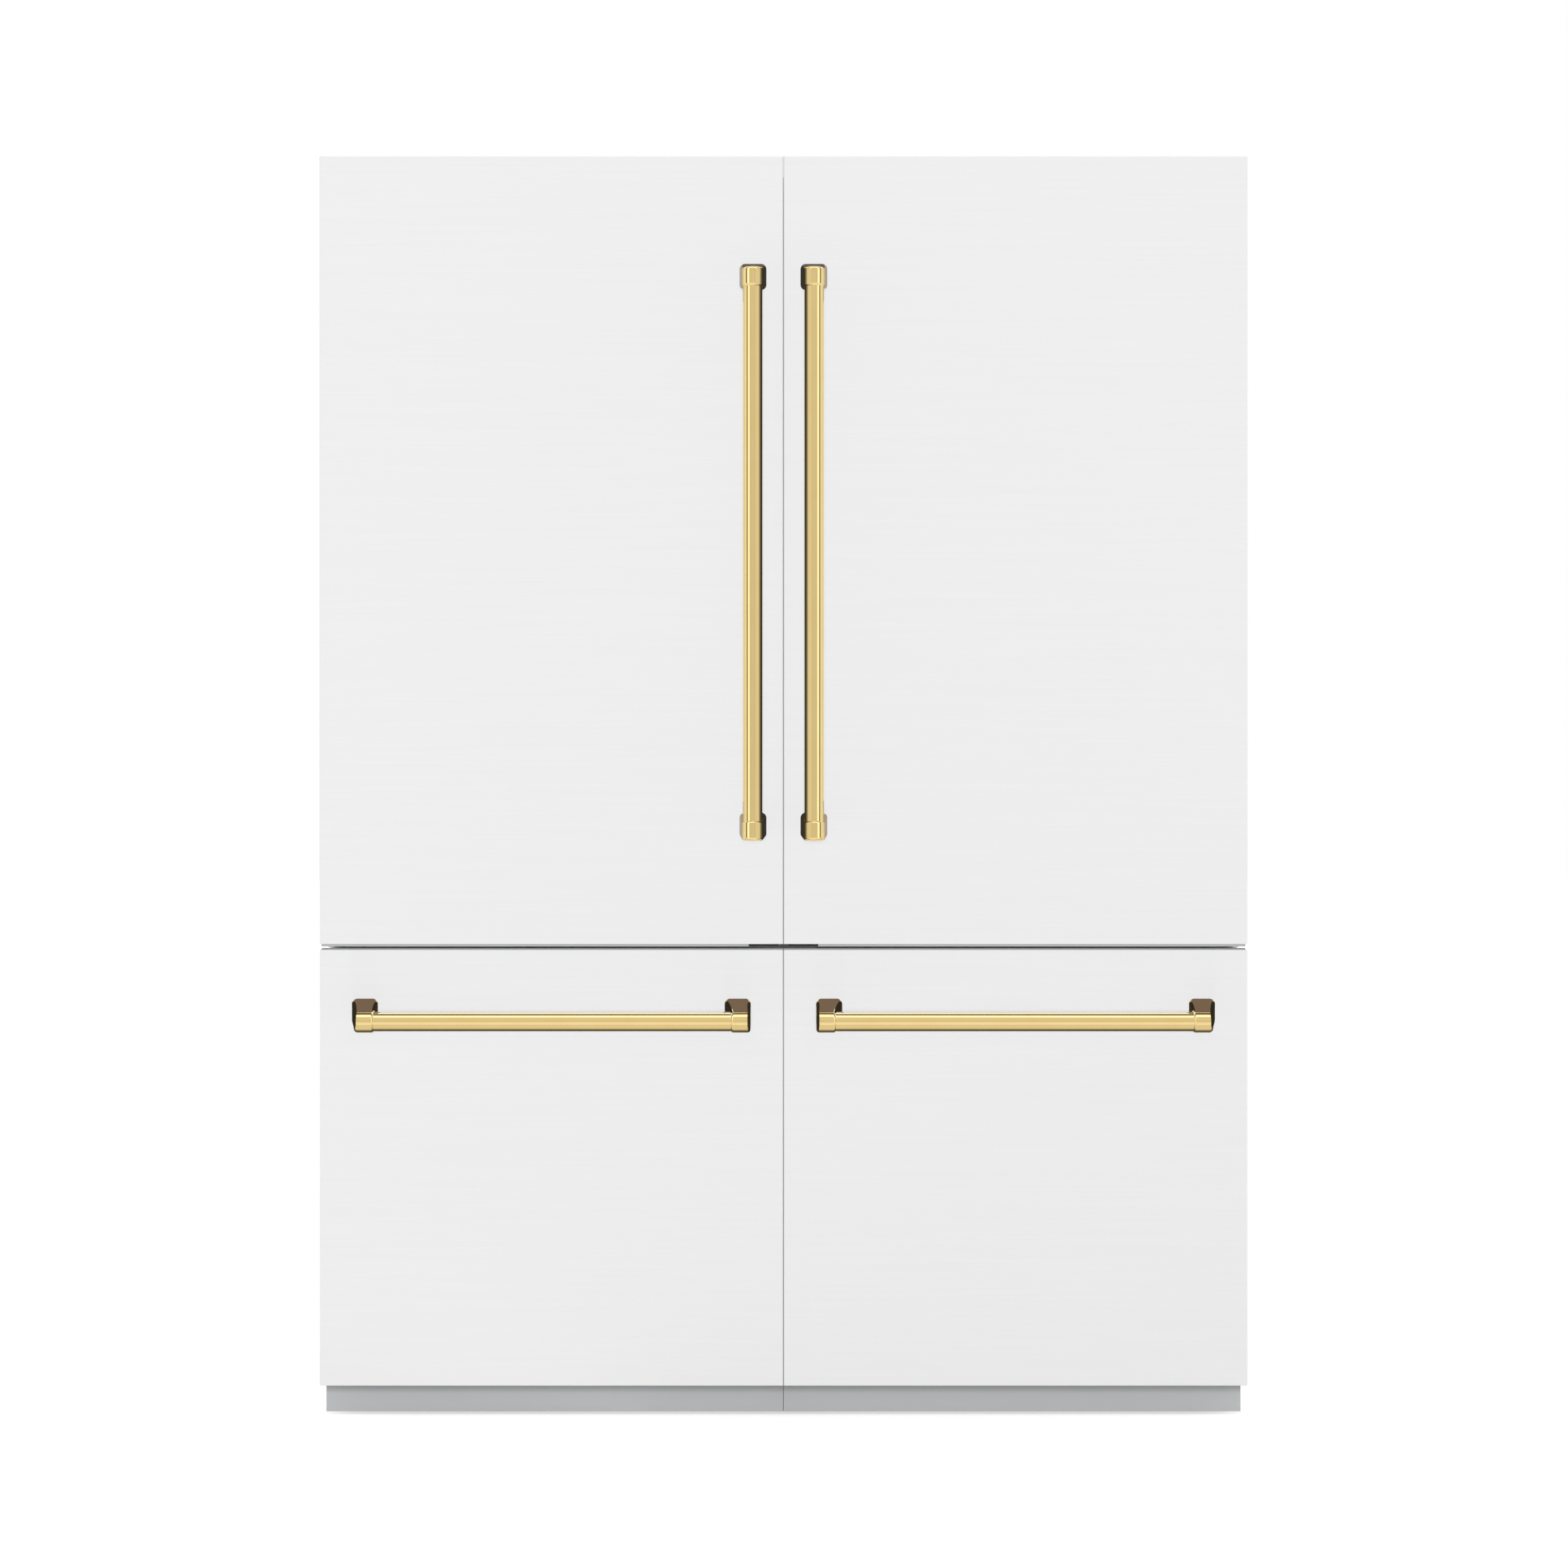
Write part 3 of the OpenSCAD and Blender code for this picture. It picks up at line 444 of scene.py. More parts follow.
FINISHES = {
    "white_panel": brushed_white(),
    "gold_bar": polished_gold(),
    # plinth: grey paint with painted shade along its top
    "plinth": toe_paint_with_painted_shade(),
    "casing_paint": painted("casing_paint", srgb(216, 217, 218), srgb(219, 220, 221), 0.5, 500.0,
                            0.00004),
    "grey_paint": painted("grey_paint", srgb(186, 187, 188), srgb(196, 197, 198), 0.42),
    "liner_plastic": moulded("liner_plastic", srgb(240, 242, 243), srgb(243, 244, 245), 0.32),
    "foam": moulded("rigid_foam", srgb(232, 222, 188), srgb(240, 232, 205), 0.8, 0.0005),
    "zinc_steel": metal("zinc_plated_steel", (0.50, 0.51, 0.52), (0.62, 0.63, 0.64), 0.35),
    "trim_aluminium": metal("satin_aluminium", (0.70, 0.71, 0.72), (0.78, 0.79, 0.80), 0.3),
    "dark_plastic": moulded("dark_plastic", srgb(38, 39, 41), srgb(46, 47, 49), 0.5, 0.00003),
    "grey_plastic": moulded("grey_plastic", srgb(176, 179, 182), srgb(188, 191, 194)),
    "clear_plastic": clear_plastic(),
    "light_cover": lamp_cover(),
    "black_enamel": painted("black_enamel", (0.012, 0.012, 0.013), (0.02, 0.02, 0.021), 0.25),
    "brass_fitting": metal("brass", (0.62, 0.43, 0.16), (0.72, 0.52, 0.22), 0.25,
                           (1.0, 20.0, 1.0)),
    "gasket_rubber": moulded("gasket_rubber", srgb(196, 198, 199), srgb(206, 208, 209), 0.6,
                             0.00002),
    "shelf_glass": shelf_glass(),
    "rating_plate": metal("rating_plate", (0.80, 0.80, 0.81), (0.86, 0.86, 0.87), 0.4),
    "white_wire": moulded("white_wire_coating", srgb(232, 234, 235), srgb(240, 242, 243), 0.3),
    "copper": metal("copper_tube", (0.75, 0.36, 0.22), (0.85, 0.46, 0.30), 0.28,
                    (1.0, 1.0, 8.0)),
    "seam_strip": moulded("seam_strip", srgb(200, 201, 202), srgb(206, 207, 208), 0.5),
    "door_trim": moulded("door_edge_trim", srgb(178, 179, 180), srgb(184, 185, 186), 0.45),
    "drawer_trim": moulded("drawer_edge_trim", srgb(150, 151, 152), srgb(156, 157, 158), 0.45),
    "glide": moulded("glide_plastic", srgb(52, 53, 55), srgb(62, 63, 65), 0.45),
}
FINISHES["gold_posts"] = FINISHES["gold_bar"]

# Slots of the finishes that are not named after their slot
SLOT_OF = {part["node"]: part["material_slot"] for part in frame["record"]["subparts"]}
BODY_OF = {node: body for body, nodes in frame["record"]["behaviour"]["bodies"].items()
           for node in nodes}


# Radius of the round edges of the carried-over parts
EDGE_ROUNDING = {
    "toe_kicks": 0.6, "top_hinges": 0.8, "lower_hinges": 0.8, "shelf_frames": 1.2,
    "light_strips": 2.0, "control_panels": 3.0, "dispenser_housings": 3.0,
    "left_water_button": 1.2, "right_water_button": 1.2, "levelling_feet": 1.0,
    "rear_rollers": 1.0, "ice_makers": 3.0, "air_ducts": 2.0,
}


def finish_frame():
    """Gives the carried-over parts their finish, and some of them round edges after a weld."""
    for name, part in frame["nodes"].items():
        part.data.materials.clear()
        # the toe kick gets the plinth paint with its painted shade
        part.data.materials.append(FINISHES["plinth" if name == "toe_kicks" else SLOT_OF[name]])
        if name in EDGE_ROUNDING:
            part.modifiers.new("weld", "WELD").merge_threshold = 0.00002
            bevel = part.modifiers.new("round_edges", "BEVEL")
            bevel.width, bevel.segments = EDGE_ROUNDING[name] * MM, 2
            bevel.limit_method, bevel.angle_limit = "ANGLE", math.radians(50)
            bevel.use_clamp_overlap = bevel.harden_normals = True


def add_object(name, data):
    thing = bpy.data.objects.new(name, data)
    bpy.context.scene.collection.objects.link(thing)
    return thing


def piece(name, form, look, body="root", replaces=(), even=False, smooth=32.0):
    """One object from a form, with its finish, on its body, standing for carried-over parts.

    Edges sharper than the smooth angle, in degrees, stay crisp. With even, large flat faces set
    the shading, so that round edges don't tint them.
    """
    mesh = form.mesh(name)
    mesh.validate()
    mesh.materials.append(FINISHES[look])
    mesh.polygons.foreach_set("use_smooth", np.ones(len(mesh.polygons), bool))
    mesh.set_sharp_from_angle(angle=math.radians(smooth))
    mesh.update()
    thing = add_object(name, mesh)
    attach(thing, body)
    if replaces:
        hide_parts(*replaces)
    if even:
        weighted = thing.modifiers.new("even_faces", "WEIGHTED_NORMAL")
        weighted.keep_sharp = True
        weighted.weight = 50
    return thing


def side_piece(side, name, form, look, node, replaces=None, even=False, smooth=32.0):
    """A piece of one side on the body of that side's node, which it replaces unless told."""
    node = f"{side}_{node}"
    replaces = [node] if replaces is None else replaces
    return piece(f"{side}_{name}", form.mirrored(SIDES[side]), look, BODY_OF[node], replaces,
                 even, smooth)


def both(form):
    """A form of the right column together with its mirror image in the left one."""
    return Form().joined(form, form.mirrored(-1.0))


def span(node):
    """The three ranges x, y and z of a carried-over part at rest."""
    return tuple((low / MM, high / MM) for low, high in zip(*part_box(node)))


def solids(node):
    """Ranges x, y and z of each separate solid of a part in the right column, lowest first.

    Merged vertices take the smallest label among their neighbours until no label changes.
    """
    mesh = frame["nodes"][node].data
    points = np.empty(len(mesh.vertices) * 3)
    mesh.vertices.foreach_get("co", points)
    points = points.reshape(-1, 3) / MM
    ends = np.empty(len(mesh.edges) * 2, int)
    mesh.edges.foreach_get("vertices", ends)
    merged = np.unique(np.round(points, 3), axis=0, return_inverse=True)[1].reshape(-1)
    ends = merged[ends.reshape(-1, 2)]
    label, lowest = None, np.arange(merged.max() + 1)
    while label is None or (lowest != label).any():
        label, lowest = lowest, lowest.copy()
        np.minimum.at(lowest, ends[:, 0], label[ends[:, 1]])
        np.minimum.at(lowest, ends[:, 1], label[ends[:, 0]])
        lowest = lowest[lowest]
    owner = label[merged]
    found = []
    for one in np.unique(owner):
        low, high = points[owner == one].min(0), points[owner == one].max(0)
        if low[0] + high[0] > 0:
            found.append(tuple(zip(low.tolist(), high.tolist())))
    return sorted(found, key=lambda spans: (round(spans[2][0], 1), spans[0][0]))


# Front of the door panels
DOOR_FACE = span("right_door_panel")[1][0]
# Handle: half sizes of a post's foot across and along the bar, radius and half length of its
# collar, radius of its edges, and how far the bar reaches from the collar's middle to its end
FOOT, COLLAR, POST_EDGE, BAR_END = (22.0, 21.5), (17.75, 16.25), 5.0, 13.25


# ---------------- stage

def camera():
    """Level camera straight in front of the seam, at the middle of the doors' height."""
    data = bpy.data.cameras.new("camera")
    data.lens, data.sensor_width = 75.5, 36.0
    eye = add_object("camera", data)
    eye.location = (0.0009, DOOR_FACE * MM - 5.4, 1.0443)
    eye.rotation_euler = (QUARTER, 0.0, 0.0)
    bpy.context.scene.camera = eye


def front_light():
    """Even soft light that comes in from the front, a little from above."""
    data = bpy.data.lights.new("front_light", "SUN")
    data.energy, data.angle = 0.63, math.radians(10)
    lamp = add_object("front_light", data)
    lamp.rotation_euler = (QUARTER - math.atan(0.04), 0.0, 0.0)
    lamp.visible_glossy = False


def plane(name, corners, material):
    """Flat square of the stage."""
    mesh = bpy.data.meshes.new(name)
    mesh.from_pydata((np.array(corners) * MM).tolist(), [], [(0, 1, 2, 3)])
    mesh.materials.append(material)
    thing = add_object(name, mesh)
    return thing


def floor():
    """Pale floor that fades to the white background and keeps the object's shadow."""
    size = 30000.0
    f = Finish("floor_paint")
    f.coat((0.75, 0.75, 0.75), 0.9)
    path = f.new("ShaderNodeLightPath")
    shown = f.math("SUBTRACT", 1.0, path["Is Diffuse Ray"])
    shown = f.math("MULTIPLY_ADD", path["Is Glossy Ray"], -0.45, shown)
    glow = f.new("ShaderNodeEmission", Strength=f.math("MULTIPLY_ADD", shown, 0.51, 0.09))[0]
    paint = f.show(f.new("ShaderNodeAddShader", f.shader.outputs[0], glow)[0])
    plane("floor", [(-size, -size, 0), (size, -size, 0), (size, size, 0), (-size, size, 0)], paint)


# Brightness that polished metal sees, by the part of a direction that points out of the doors,
# less 0.2 of its part to the sides and plus 0.2 of its part upwards
STUDIO_BANDS = [(-1.0, 0.8), (-0.5, 0.8), (-0.30, 1.0), (-0.12, 1.3), (-0.02, 0.9), (0.08, 0.10),
                (0.18, 0.10), (0.28, 0.45), (0.36, 0.9), (0.47, 1.7), (0.56, 1.6), (0.66, 1.1),
                (0.75, 0.75), (0.82, 0.66), (0.89, 0.70), (1.0, 0.72)]

# Soft light from all around, and what is added towards the doors' front and towards the top
SOFT_LIGHT = {"base": 0.58, "front": 0.25, "top": 0.25}


def studio():
    """World: white for the camera, even for soft light, and banded for polished metal."""
    world = bpy.data.worlds.new("studio")
    bpy.context.scene.world = world
    g = Graph(world)
    x, y, z = g.new("ShaderNodeSeparateXYZ", g.new("ShaderNodeTexCoord")["Generated"])
    out, up = g.math("MULTIPLY", y, -1.0), g.math("MAXIMUM", z, 0.0)
    soft = g.math("MULTIPLY_ADD", g.math("MAXIMUM", out, 0.0), SOFT_LIGHT["front"],
                  SOFT_LIGHT["base"])
    soft = g.math("MULTIPLY_ADD", up, SOFT_LIGHT["top"], soft)
    band = g.math("MULTIPLY_ADD", g.math("ABSOLUTE", x), -0.2,
                  g.math("MULTIPLY_ADD", up, 0.2, out))
    ramp = g.nodes.new("ShaderNodeValToRGB")
    ends = ramp.color_ramp.elements
    ends[0].position, ends[1].position = 0.0, 1.0
    for at, _ in STUDIO_BANDS[1:-1]:
        ends.new((at + 1.0) / 2)
    for element, (_, level) in zip(ends, STUDIO_BANDS):
        element.color = (level, level, level, 1.0)
    banded = g.feed(ramp, g.math("MULTIPLY_ADD", band, 0.5, 0.5))["Color"]
    path = g.new("ShaderNodeLightPath")
    gloss_up = g.math("MULTIPLY", up, path["Is Glossy Ray"])
    shown = g.math("MAXIMUM", path["Is Camera Ray"], path["Is Transmission Ray"])
    g.feed(g.nodes["Background"],
           g.mix(shown, g.mix(path["Is Glossy Ray"], soft, banded), WHITE),
           g.math("MULTIPLY_ADD", gloss_up, 0.25, 1.0))


def card_paper(name, near, rise=0.0, tint=WHITE):
    """Paper of a studio card, seen only by rays that polished metal throws onto its front.

    Its grey is near + rise * (distance from the panels / 55 mm) ** 5.5, and at most 0.8 or near,
    whichever is more.
    """
    f = Finish(name)
    y = f.new("ShaderNodeSeparateXYZ", f.place)["Y"]
    away = f.math("DIVIDE", f.math("SUBTRACT", DOOR_FACE * MM, y), 0.055)
    grey = f.math("MULTIPLY_ADD", f.math("POWER", away, 5.5), rise, near)
    grey = f.math("MINIMUM", grey, max(0.8, near))
    first_bounce = f.math("LESS_THAN", f.new("ShaderNodeLightPath")["Ray Depth"], 1.5)
    back = f.new("ShaderNodeNewGeometry")["Backfacing"]
    seen = f.math("MULTIPLY", first_bounce, f.math("SUBTRACT", 1.0, back))
    glow = f.new("ShaderNodeEmission", tint, grey)[0]
    clear = f.new("ShaderNodeBsdfTransparent")[0]
    return f.show(f.new("ShaderNodeMixShader", seen, clear, glow)[0])


def card(corner, first, second, paper):
    """Flat card spanned by two edges from a corner; its front looks towards first x second."""
    corner, first, second = (np.array(v, float) for v in (corner, first, second))
    thing = plane("card", [corner, corner + first, corner + first + second, corner + second],
                  paper)
    thing.visible_camera = thing.visible_diffuse = thing.visible_shadow = False
    thing.visible_transmission = thing.visible_volume_scatter = False


def front_card(x, y, z, paper):
    """Card parallel to the doors that looks out from them; x may run either way."""
    low, high = sorted(x)
    card((low, y, z[0]), (high - low, 0, 0), (0, 0, z[1] - z[0]), paper)


def cards():
    """Cards that give the gold its dark edges, from one at the seam to those round the feet."""
    face = DOOR_FACE - 0.4
    upright, level = span("right_door_handle_bar"), span("right_drawer_handle_bar")
    tall_x, _, tall_z = span("right_door_handle_posts")
    wide_x, _, wide_z = span("right_drawer_handle_posts")
    seam_paper = card_paper("seam_card", 0.04, 0.20)
    below_paper = card_paper("lower_card", 0.04, 0.30)
    pale_paper = card_paper("pale_card", 1.0, tint=(1.15, 1.35, 2.2))
    dark_paper = card_paper("dark_card", 0.03)
    side_paper = card_paper("grey_card", 0.42, tint=(0.98, 0.98, 1.0))
    top_paper = card_paper("top_card", 0.13, tint=(1.0, 0.95, 1.0))
    brown_paper = card_paper("brown_card", 0.19, tint=(1.04, 0.89, 1.12))

    seam_z = grow(upright[2], 30)
    front_card((-upright[0][0], upright[0][0]), face, seam_z, seam_paper)
    tall, seam_reach = (0, 0, seam_z[1] - seam_z[0]), 140
    card((1, face - seam_reach, seam_z[0]), (0, seam_reach, 0), tall, seam_paper)
    card((-1, face, seam_z[0]), (0, -seam_reach, 0), tall, seam_paper)

    upper_foot, foot_z = tall_z[1] - FOOT[1], wide_z[1] - FOOT[0]
    lower_foot = upper_foot - (upright[2][1] - upright[2][0]) + 2 * BAR_END
    above, below = pair_mid(level[2]) + 60, pair_mid(level[2]) - 40
    pale_reach, dark_reach, below_reach = 42.5, 56, 120
    between_collars = (wide_x[0] + 33, wide_x[1] - 43)
    for sign in SIDES.values():
        for at in (lower_foot, upper_foot):
            front_card((sign * (tall_x[1] - 3), sign * (tall_x[1] + 40)), face, grow((at, at), 40),
                       side_paper)
        front_card([sign * at for at in grow(tall_x, 6)], face - 0.2,
                   (upper_foot + 21, upper_foot + 56), top_paper)
        for near, far, (start, end), paper in (
                (0, pale_reach, between_collars, pale_paper),
                (pale_reach, dark_reach, wide_x, dark_paper)):
            card((sign * start, face - (far if sign > 0 else near), above),
                 (0, sign * (far - near), 0), (sign * (end - start), 0, 0), paper)
        low, high = sorted(sign * at for at in grow(wide_x, 20))
        card((low, face - below_reach, below), (high - low, 0, 0), (0, below_reach, 0),
             below_paper)
        for at, seam_side in ((wide_x[0] + FOOT[1], True), (wide_x[1] - FOOT[1], False)):
            at *= sign
            front_card((at - 24, at + 24), face, (foot_z + 22, foot_z + 107), brown_paper)
            for way in (1, -1):
                reach = 40 if (way * sign > 0) == seam_side else 110
                card((at + way * 22, face - max(way, 0) * reach, foot_z - 40), (0, 0, 147),
                     (0, way * reach, 0), dark_paper)


def stage():
    """Camera, floor, lamp and world, with colours shown about as they are written."""
    bpy.context.scene.view_settings.view_transform = "Standard"
    camera()
    floor()
    studio()
    cards()
    front_light()


# ---------------- fronts

def panel(side, node):
    """Folded sheet-metal front with small round folds."""
    fold, inner_fold = 1.4, 1.3
    form = vessel(*span(f"right_{node}"), SHEET, fold, "y", fillet=inner_fold, steps=3)
    side_piece(side, f"{node}_skin", form, "white_panel", node, even=True)


def edge_trims(side):
    """Strips on the fronts' edges at the seam, and along the gap between door and drawer, where
    the door's stops at the dark glide."""
    (x, y, door_z), (_, _, drawer_z) = span("right_door_panel"), span("right_drawer_panel")
    trim_y, outer_x = (y[0] + 1.4, y[1] - 3), x[1] - 3
    for front, front_z in (("door", door_z), ("drawer", drawer_z)):
        strip = slab((0.25, x[0] + 1.2), trim_y, grow(front_z, -0.1), 0.15)
        side_piece(side, f"{front}_seam_strip", strip, "seam_strip", f"{front}_panel", ())
    for front, start, trim_z in (("door", GLIDE_END, (door_z[0] - 3.9, door_z[0] + 1)),
                                 ("drawer", 0.3, (drawer_z[1] - 1, drawer_z[1] + 2.4))):
        trim = slab((start, outer_x), trim_y, trim_z, 0.4, "x")
        side_piece(side, f"{front}_edge_trim", trim, f"{front}_trim", f"{front}_panel", ())


def plinth_seam():
    """Strips behind the slit between the two halves of the toe kick, at its front and its rear."""
    front, rear = span("toe_kicks")[1]
    strips = Form()
    for at, strip_z in ((front + 2.1, (5.2, 55)), (rear + 0.2, (28, 66))):
        strips.joined(slab((-6, 6), (at, at + 1), strip_z, 0.3, "y"))
    piece("plinth_seam_strip", strips, "drawer_trim")


def post(centre):
    """Handle post standing on the plane d = 0, in coordinates u across, v along the bar and d out.

    Each direction, given by its angle from d and its turn about d, has one point: the furthest
    that way of the foot, a rounded rectangle, or of the collar, a short cylinder along v about
    the centre, moved out by the edge radius.
    """
    corner, edge = 4.0, POST_EDGE
    tilt, turn = np.meshgrid(np.radians(np.linspace(0.4, 179.6, 54)),
                             np.linspace(0.0, 2 * np.pi, 96, endpoint=False), indexing="ij")
    u, v, d = np.sin(tilt) * np.cos(turn), np.sin(tilt) * np.sin(turn), np.cos(tilt)
    flat, round_part = np.hypot(u, v) + 1e-9, np.hypot(u, d) + 1e-9
    on_foot = np.stack([np.sign(u) * (FOOT[0] - edge - corner) + corner * u / flat,
                        np.sign(v) * (FOOT[1] - edge - corner) + corner * v / flat,
                        np.full_like(d, 0.3 * edge)], axis=-1)
    on_collar = np.stack([centre[0] + (COLLAR[0] - edge) * u / round_part,
                          centre[1] + np.sign(v) * (COLLAR[1] - edge),
                          centre[2] + (COLLAR[0] - edge) * d / round_part], axis=-1)
    way = np.stack([u, v, d], axis=-1)
    further = ((on_collar - on_foot) * way).sum(-1, keepdims=True) > 0
    return np.where(further, on_collar, on_foot) + edge * way


def handle(side, node, axis):
    """Bar along an axis and its two posts, whose feet stand off the line of the bar."""
    bar, feet = span(f"right_{node}_bar"), span(f"right_{node}_posts")
    upright, chamfer = axis == "z", 0.6
    first, second, along = AXES[axis]
    (low, high), radius = bar[along], pair_half(bar[1])
    rod = lathe([(radius - chamfer, low), (radius, low + chamfer), (radius, high - chamfer),
                 (radius - chamfer, high)], (pair_mid(bar[first]), pair_mid(bar[second])), axis, 96)
    across = 0 if upright else 2
    at_across = pair_mid(feet[0]) if upright else feet[2][1] - FOOT[0]
    near, far = feet[along][0] + FOOT[1], feet[along][1] - FOOT[1]
    shift = high - BAR_END - far if upright else low + BAR_END - near
    if upright:
        near = low + BAR_END - shift
    shape = post((pair_mid(bar[across]) - at_across, shift, feet[1][1] - feet[1][0] - COLLAR[0]))
    posts = Form()
    for at in (near, far):
        rings = np.empty_like(shape)
        rings[..., across] = at_across + shape[..., 0]
        rings[..., 1] = feet[1][1] - shape[..., 2]
        rings[..., along] = at + shape[..., 1]
        posts.skin(rings)
    rod = side_piece(side, f"{node}_rod", rod, "gold_bar", f"{node}_bar")
    mounts = side_piece(side, f"{node}_mounts", posts, "gold_posts", f"{node}_posts", even=True,
                        smooth=45.0)
    rod.visible_diffuse = mounts.visible_diffuse = False


def gasket(side, node):
    """Bellows gasket: a closed profile of insets and depths carried round the door's outline."""
    x, y, z = span(f"right_{node}")
    width, corner, thick = 14.0, 16.0, y[1] - y[0]
    half = [(0.6, 0.0), (2.4, 1.6), (1.2, 3.2), (0.0, 4.6), (0.4, thick - 0.8), (1.6, thick)]
    profile = half + [(width - inset, depth) for inset, depth in half[::-1]]
    form = loft([(y[0] + depth, grow(z, -inset), grow(x, -inset), corner - inset)
                 for inset, depth in profile], "y", 6, closed=True)
    side_piece(side, f"{node}_bellows", form, "gasket_rubber", node)


def front_body(name):
    """Ranges x and y of the insulated slab of a front, and the boss that fills its panel."""
    x, y, z = span(f"right_{name}_panel")
    seal_y, gap = span(f"right_{name}_gasket")[1][0], 1.7
    boss = slab(grow(x, -gap), (y[0] + 1.6, y[1] + 2), grow(z, -gap), 0.8, "y")
    return (x[0] + 7, x[1] - 8), (y[1], seal_y), z, boss


def door_body(side):
    """Door body with two upright ribs that carry the bins, and the dark glide under its end."""
    _, body_y, body_z = span("right_door_body")
    x, y, panel_z, boss = front_body("door")
    z = (panel_z[0] + 5.7, span("top_hinges")[2][0] + 21)
    bins, rib = solids("right_door_bins"), 18
    bin_x = bins[0][0]
    rib_z = (bins[0][2][0] - 20, span("fridge_liners")[2][1] - 62)
    form = slab(x, y, z, 4, "y").joined(boss)
    for rib_x in both_ends(grow(bin_x, rib), rib):
        form.joined(slab(rib_x, (y[1] - 1, body_y[1]), rib_z, 6, "y"))
    for _, _, (low, _) in bins:
        form.joined(slab(grow(bin_x, 2), (y[1] - 2, y[1] + 5), (low - 16, low - 1), 3, "y"))
    side_piece(side, "door_core", form, "liner_plastic", "door_body", even=True)
    glide = slab((x[0], GLIDE_END), (y[0] + 0.2, y[1] - 12), (body_z[0], z[0] + 1), 0.8)
    side_piece(side, "closing_glide", glide, "glide", "door_body", (), True)


def drawer_body(side):
    """Drawer body: the insulated slab and its boss."""
    x, y, panel_z, boss = front_body("drawer")
    form = slab(x, y, (panel_z[0] + 8, panel_z[1] - 6), 4, "y").joined(boss)
    side_piece(side, "drawer_core", form, "liner_plastic", "drawer_body", even=True)


def door_bins(side):
    """Clear bins with a satin trim along the top of the front wall."""
    form, trims = Form(), Form()
    for x, y, z in solids("right_door_bins"):
        form.joined(vessel(x, y, z, 3, 18, draft=3))
        trims.joined(slab(grow(x, -14), (y[1] - 0.4, y[1] + 1.2), (z[1] - 20, z[1] - 3), 0.6, "y",
                          corner=3))
    side_piece(side, "clear_door_bins", form, "clear_plastic", "door_bins", even=True)
    side_piece(side, "door_bin_trims", trims, "trim_aluminium", "door_bins", (), True)


# ---------------- inside

def liner_mouth(front, u, v):
    """Sections of a liner's hidden flange and of the round edge that leads into it."""
    edge, out, corner = 3, LINER + LIP, LINER_CORNER + LINER
    sections = [(front + LINER, grow(u, LINER), grow(v, LINER), corner),
                (front + LINER + 0.01, grow(u, out), grow(v, out), corner),
                (front, grow(u, out), grow(v, out), corner)]
    for by, depth in edge * quarter_arc(3):
        sections.append((front + depth, grow(u, by), grow(v, by), LINER_CORNER))
    return sections


def liner_end(back, u, v):
    """Sections of the hollow round edge where a liner's walls meet its rear wall."""
    return [(back - depth, grow(u, -inset), grow(v, -inset), max(LINER_CORNER - 0.6 * inset, 1))
            for depth, inset in 14 * quarter_arc(5)]


def liner_ranges(node):
    """Inner ranges z and x of a liner, its mouth and its rear wall's face."""
    x, y, z = solids(node)[0]
    return grow(z, -LINER - LIP), grow(x, -LINER - LIP), y[0], y[1] - LINER


def fridge_liners():
    """Moulded liner with round corners and the ledges that carry the shelves."""
    z, x, front, back = liner_ranges("fridge_liners")
    form = loft([(back + LINER, grow(z, LINER), grow(x, LINER), LINER_CORNER)]
                + liner_mouth(front, z, x) + liner_end(back, z, x), "y")
    for _, shelf_y, (low, _) in solids("shelf_frames"):
        for ledge_x in both_ends(grow(x, 1), 12):
            form.joined(slab(ledge_x, shelf_y, (low - 8, low), 2.5, "y"))
    piece("fridge_liner_shells", both(form), "liner_plastic", "root", ["fridge_liners"], True)


def freezer_liners():
    """Moulded liner whose floor turns up and level again over the machine compartment, through
    two quarter circles."""
    z, x, front, back = liner_ranges("freezer_liners")
    hollow, nose = 14 * quarter_arc(5), 8 * quarter_arc(5)
    step_y = span("air_ducts")[1][1] - 175
    upper = (span("left_condenser_fan")[2][1] + 92, z[1])
    rise = [(step_y - depth, z[0] + height) for depth, height in hollow]
    rise += [(step_y + 0.3 + depth, upper[0] - height) for height, depth in nose]
    outside = [(at, grow(low_z, LINER), grow(x, LINER), LINER_CORNER)
               for at, low_z in ((back + LINER, upper), (step_y + 2 * LINER, upper),
                                 (step_y + LINER, z))]
    form = loft(outside + liner_mouth(front, z, x)
                + [(at, (low, z[1]), x, LINER_CORNER) for at, low in rise]
                + liner_end(back, upper, x), "y")
    piece("freezer_liner_shells", both(form), "liner_plastic", "root", ["freezer_liners"], True)


def touch_lights(side):
    """Row of small lit discs on the front of the control panel."""
    x, y, z = solids("control_panels")[0]
    pitch, spots = 16, Form()
    for step in range(-2, 3):
        spots.joined(dome((pair_mid(x) + step * pitch, y[0], pair_mid(z)), "y", -1, 2.2, 0.4))
    side_piece(side, "touch_lights", spots, "light_cover", "casing", ())


def glass_shelves():
    """Glass panes with polished edges."""
    form = Form().joined(*[slab(x, y, z, 1.2, corner=4) for x, y, z in solids("shelf_glass")])
    piece("glass_shelves", both(form), "shelf_glass", "root", ["shelf_glass"], True)


def crispers():
    """Clear crisper drawers with a round pull along the front and a satin trim on it."""
    form, trims, pull = Form(), Form(), 12
    for x, y, z in solids("crisper_drawers"):
        form.joined(vessel(x, (y[0] + pull, y[1]), z, 3, 14, draft=2),
                    slab(grow(x, -60), (y[0], y[0] + pull + 2), (z[1] - 30, z[1] - 24), 2.5, "y"))
        trims.joined(slab(grow(x, -59), (y[0], y[0] + 3), (z[1] - 31, z[1] - 13), 1.2, "y"))
    piece("clear_crispers", both(form), "clear_plastic", "root", ["crisper_drawers"], True)
    piece("crisper_trims", both(trims), "trim_aluminium", even=True)


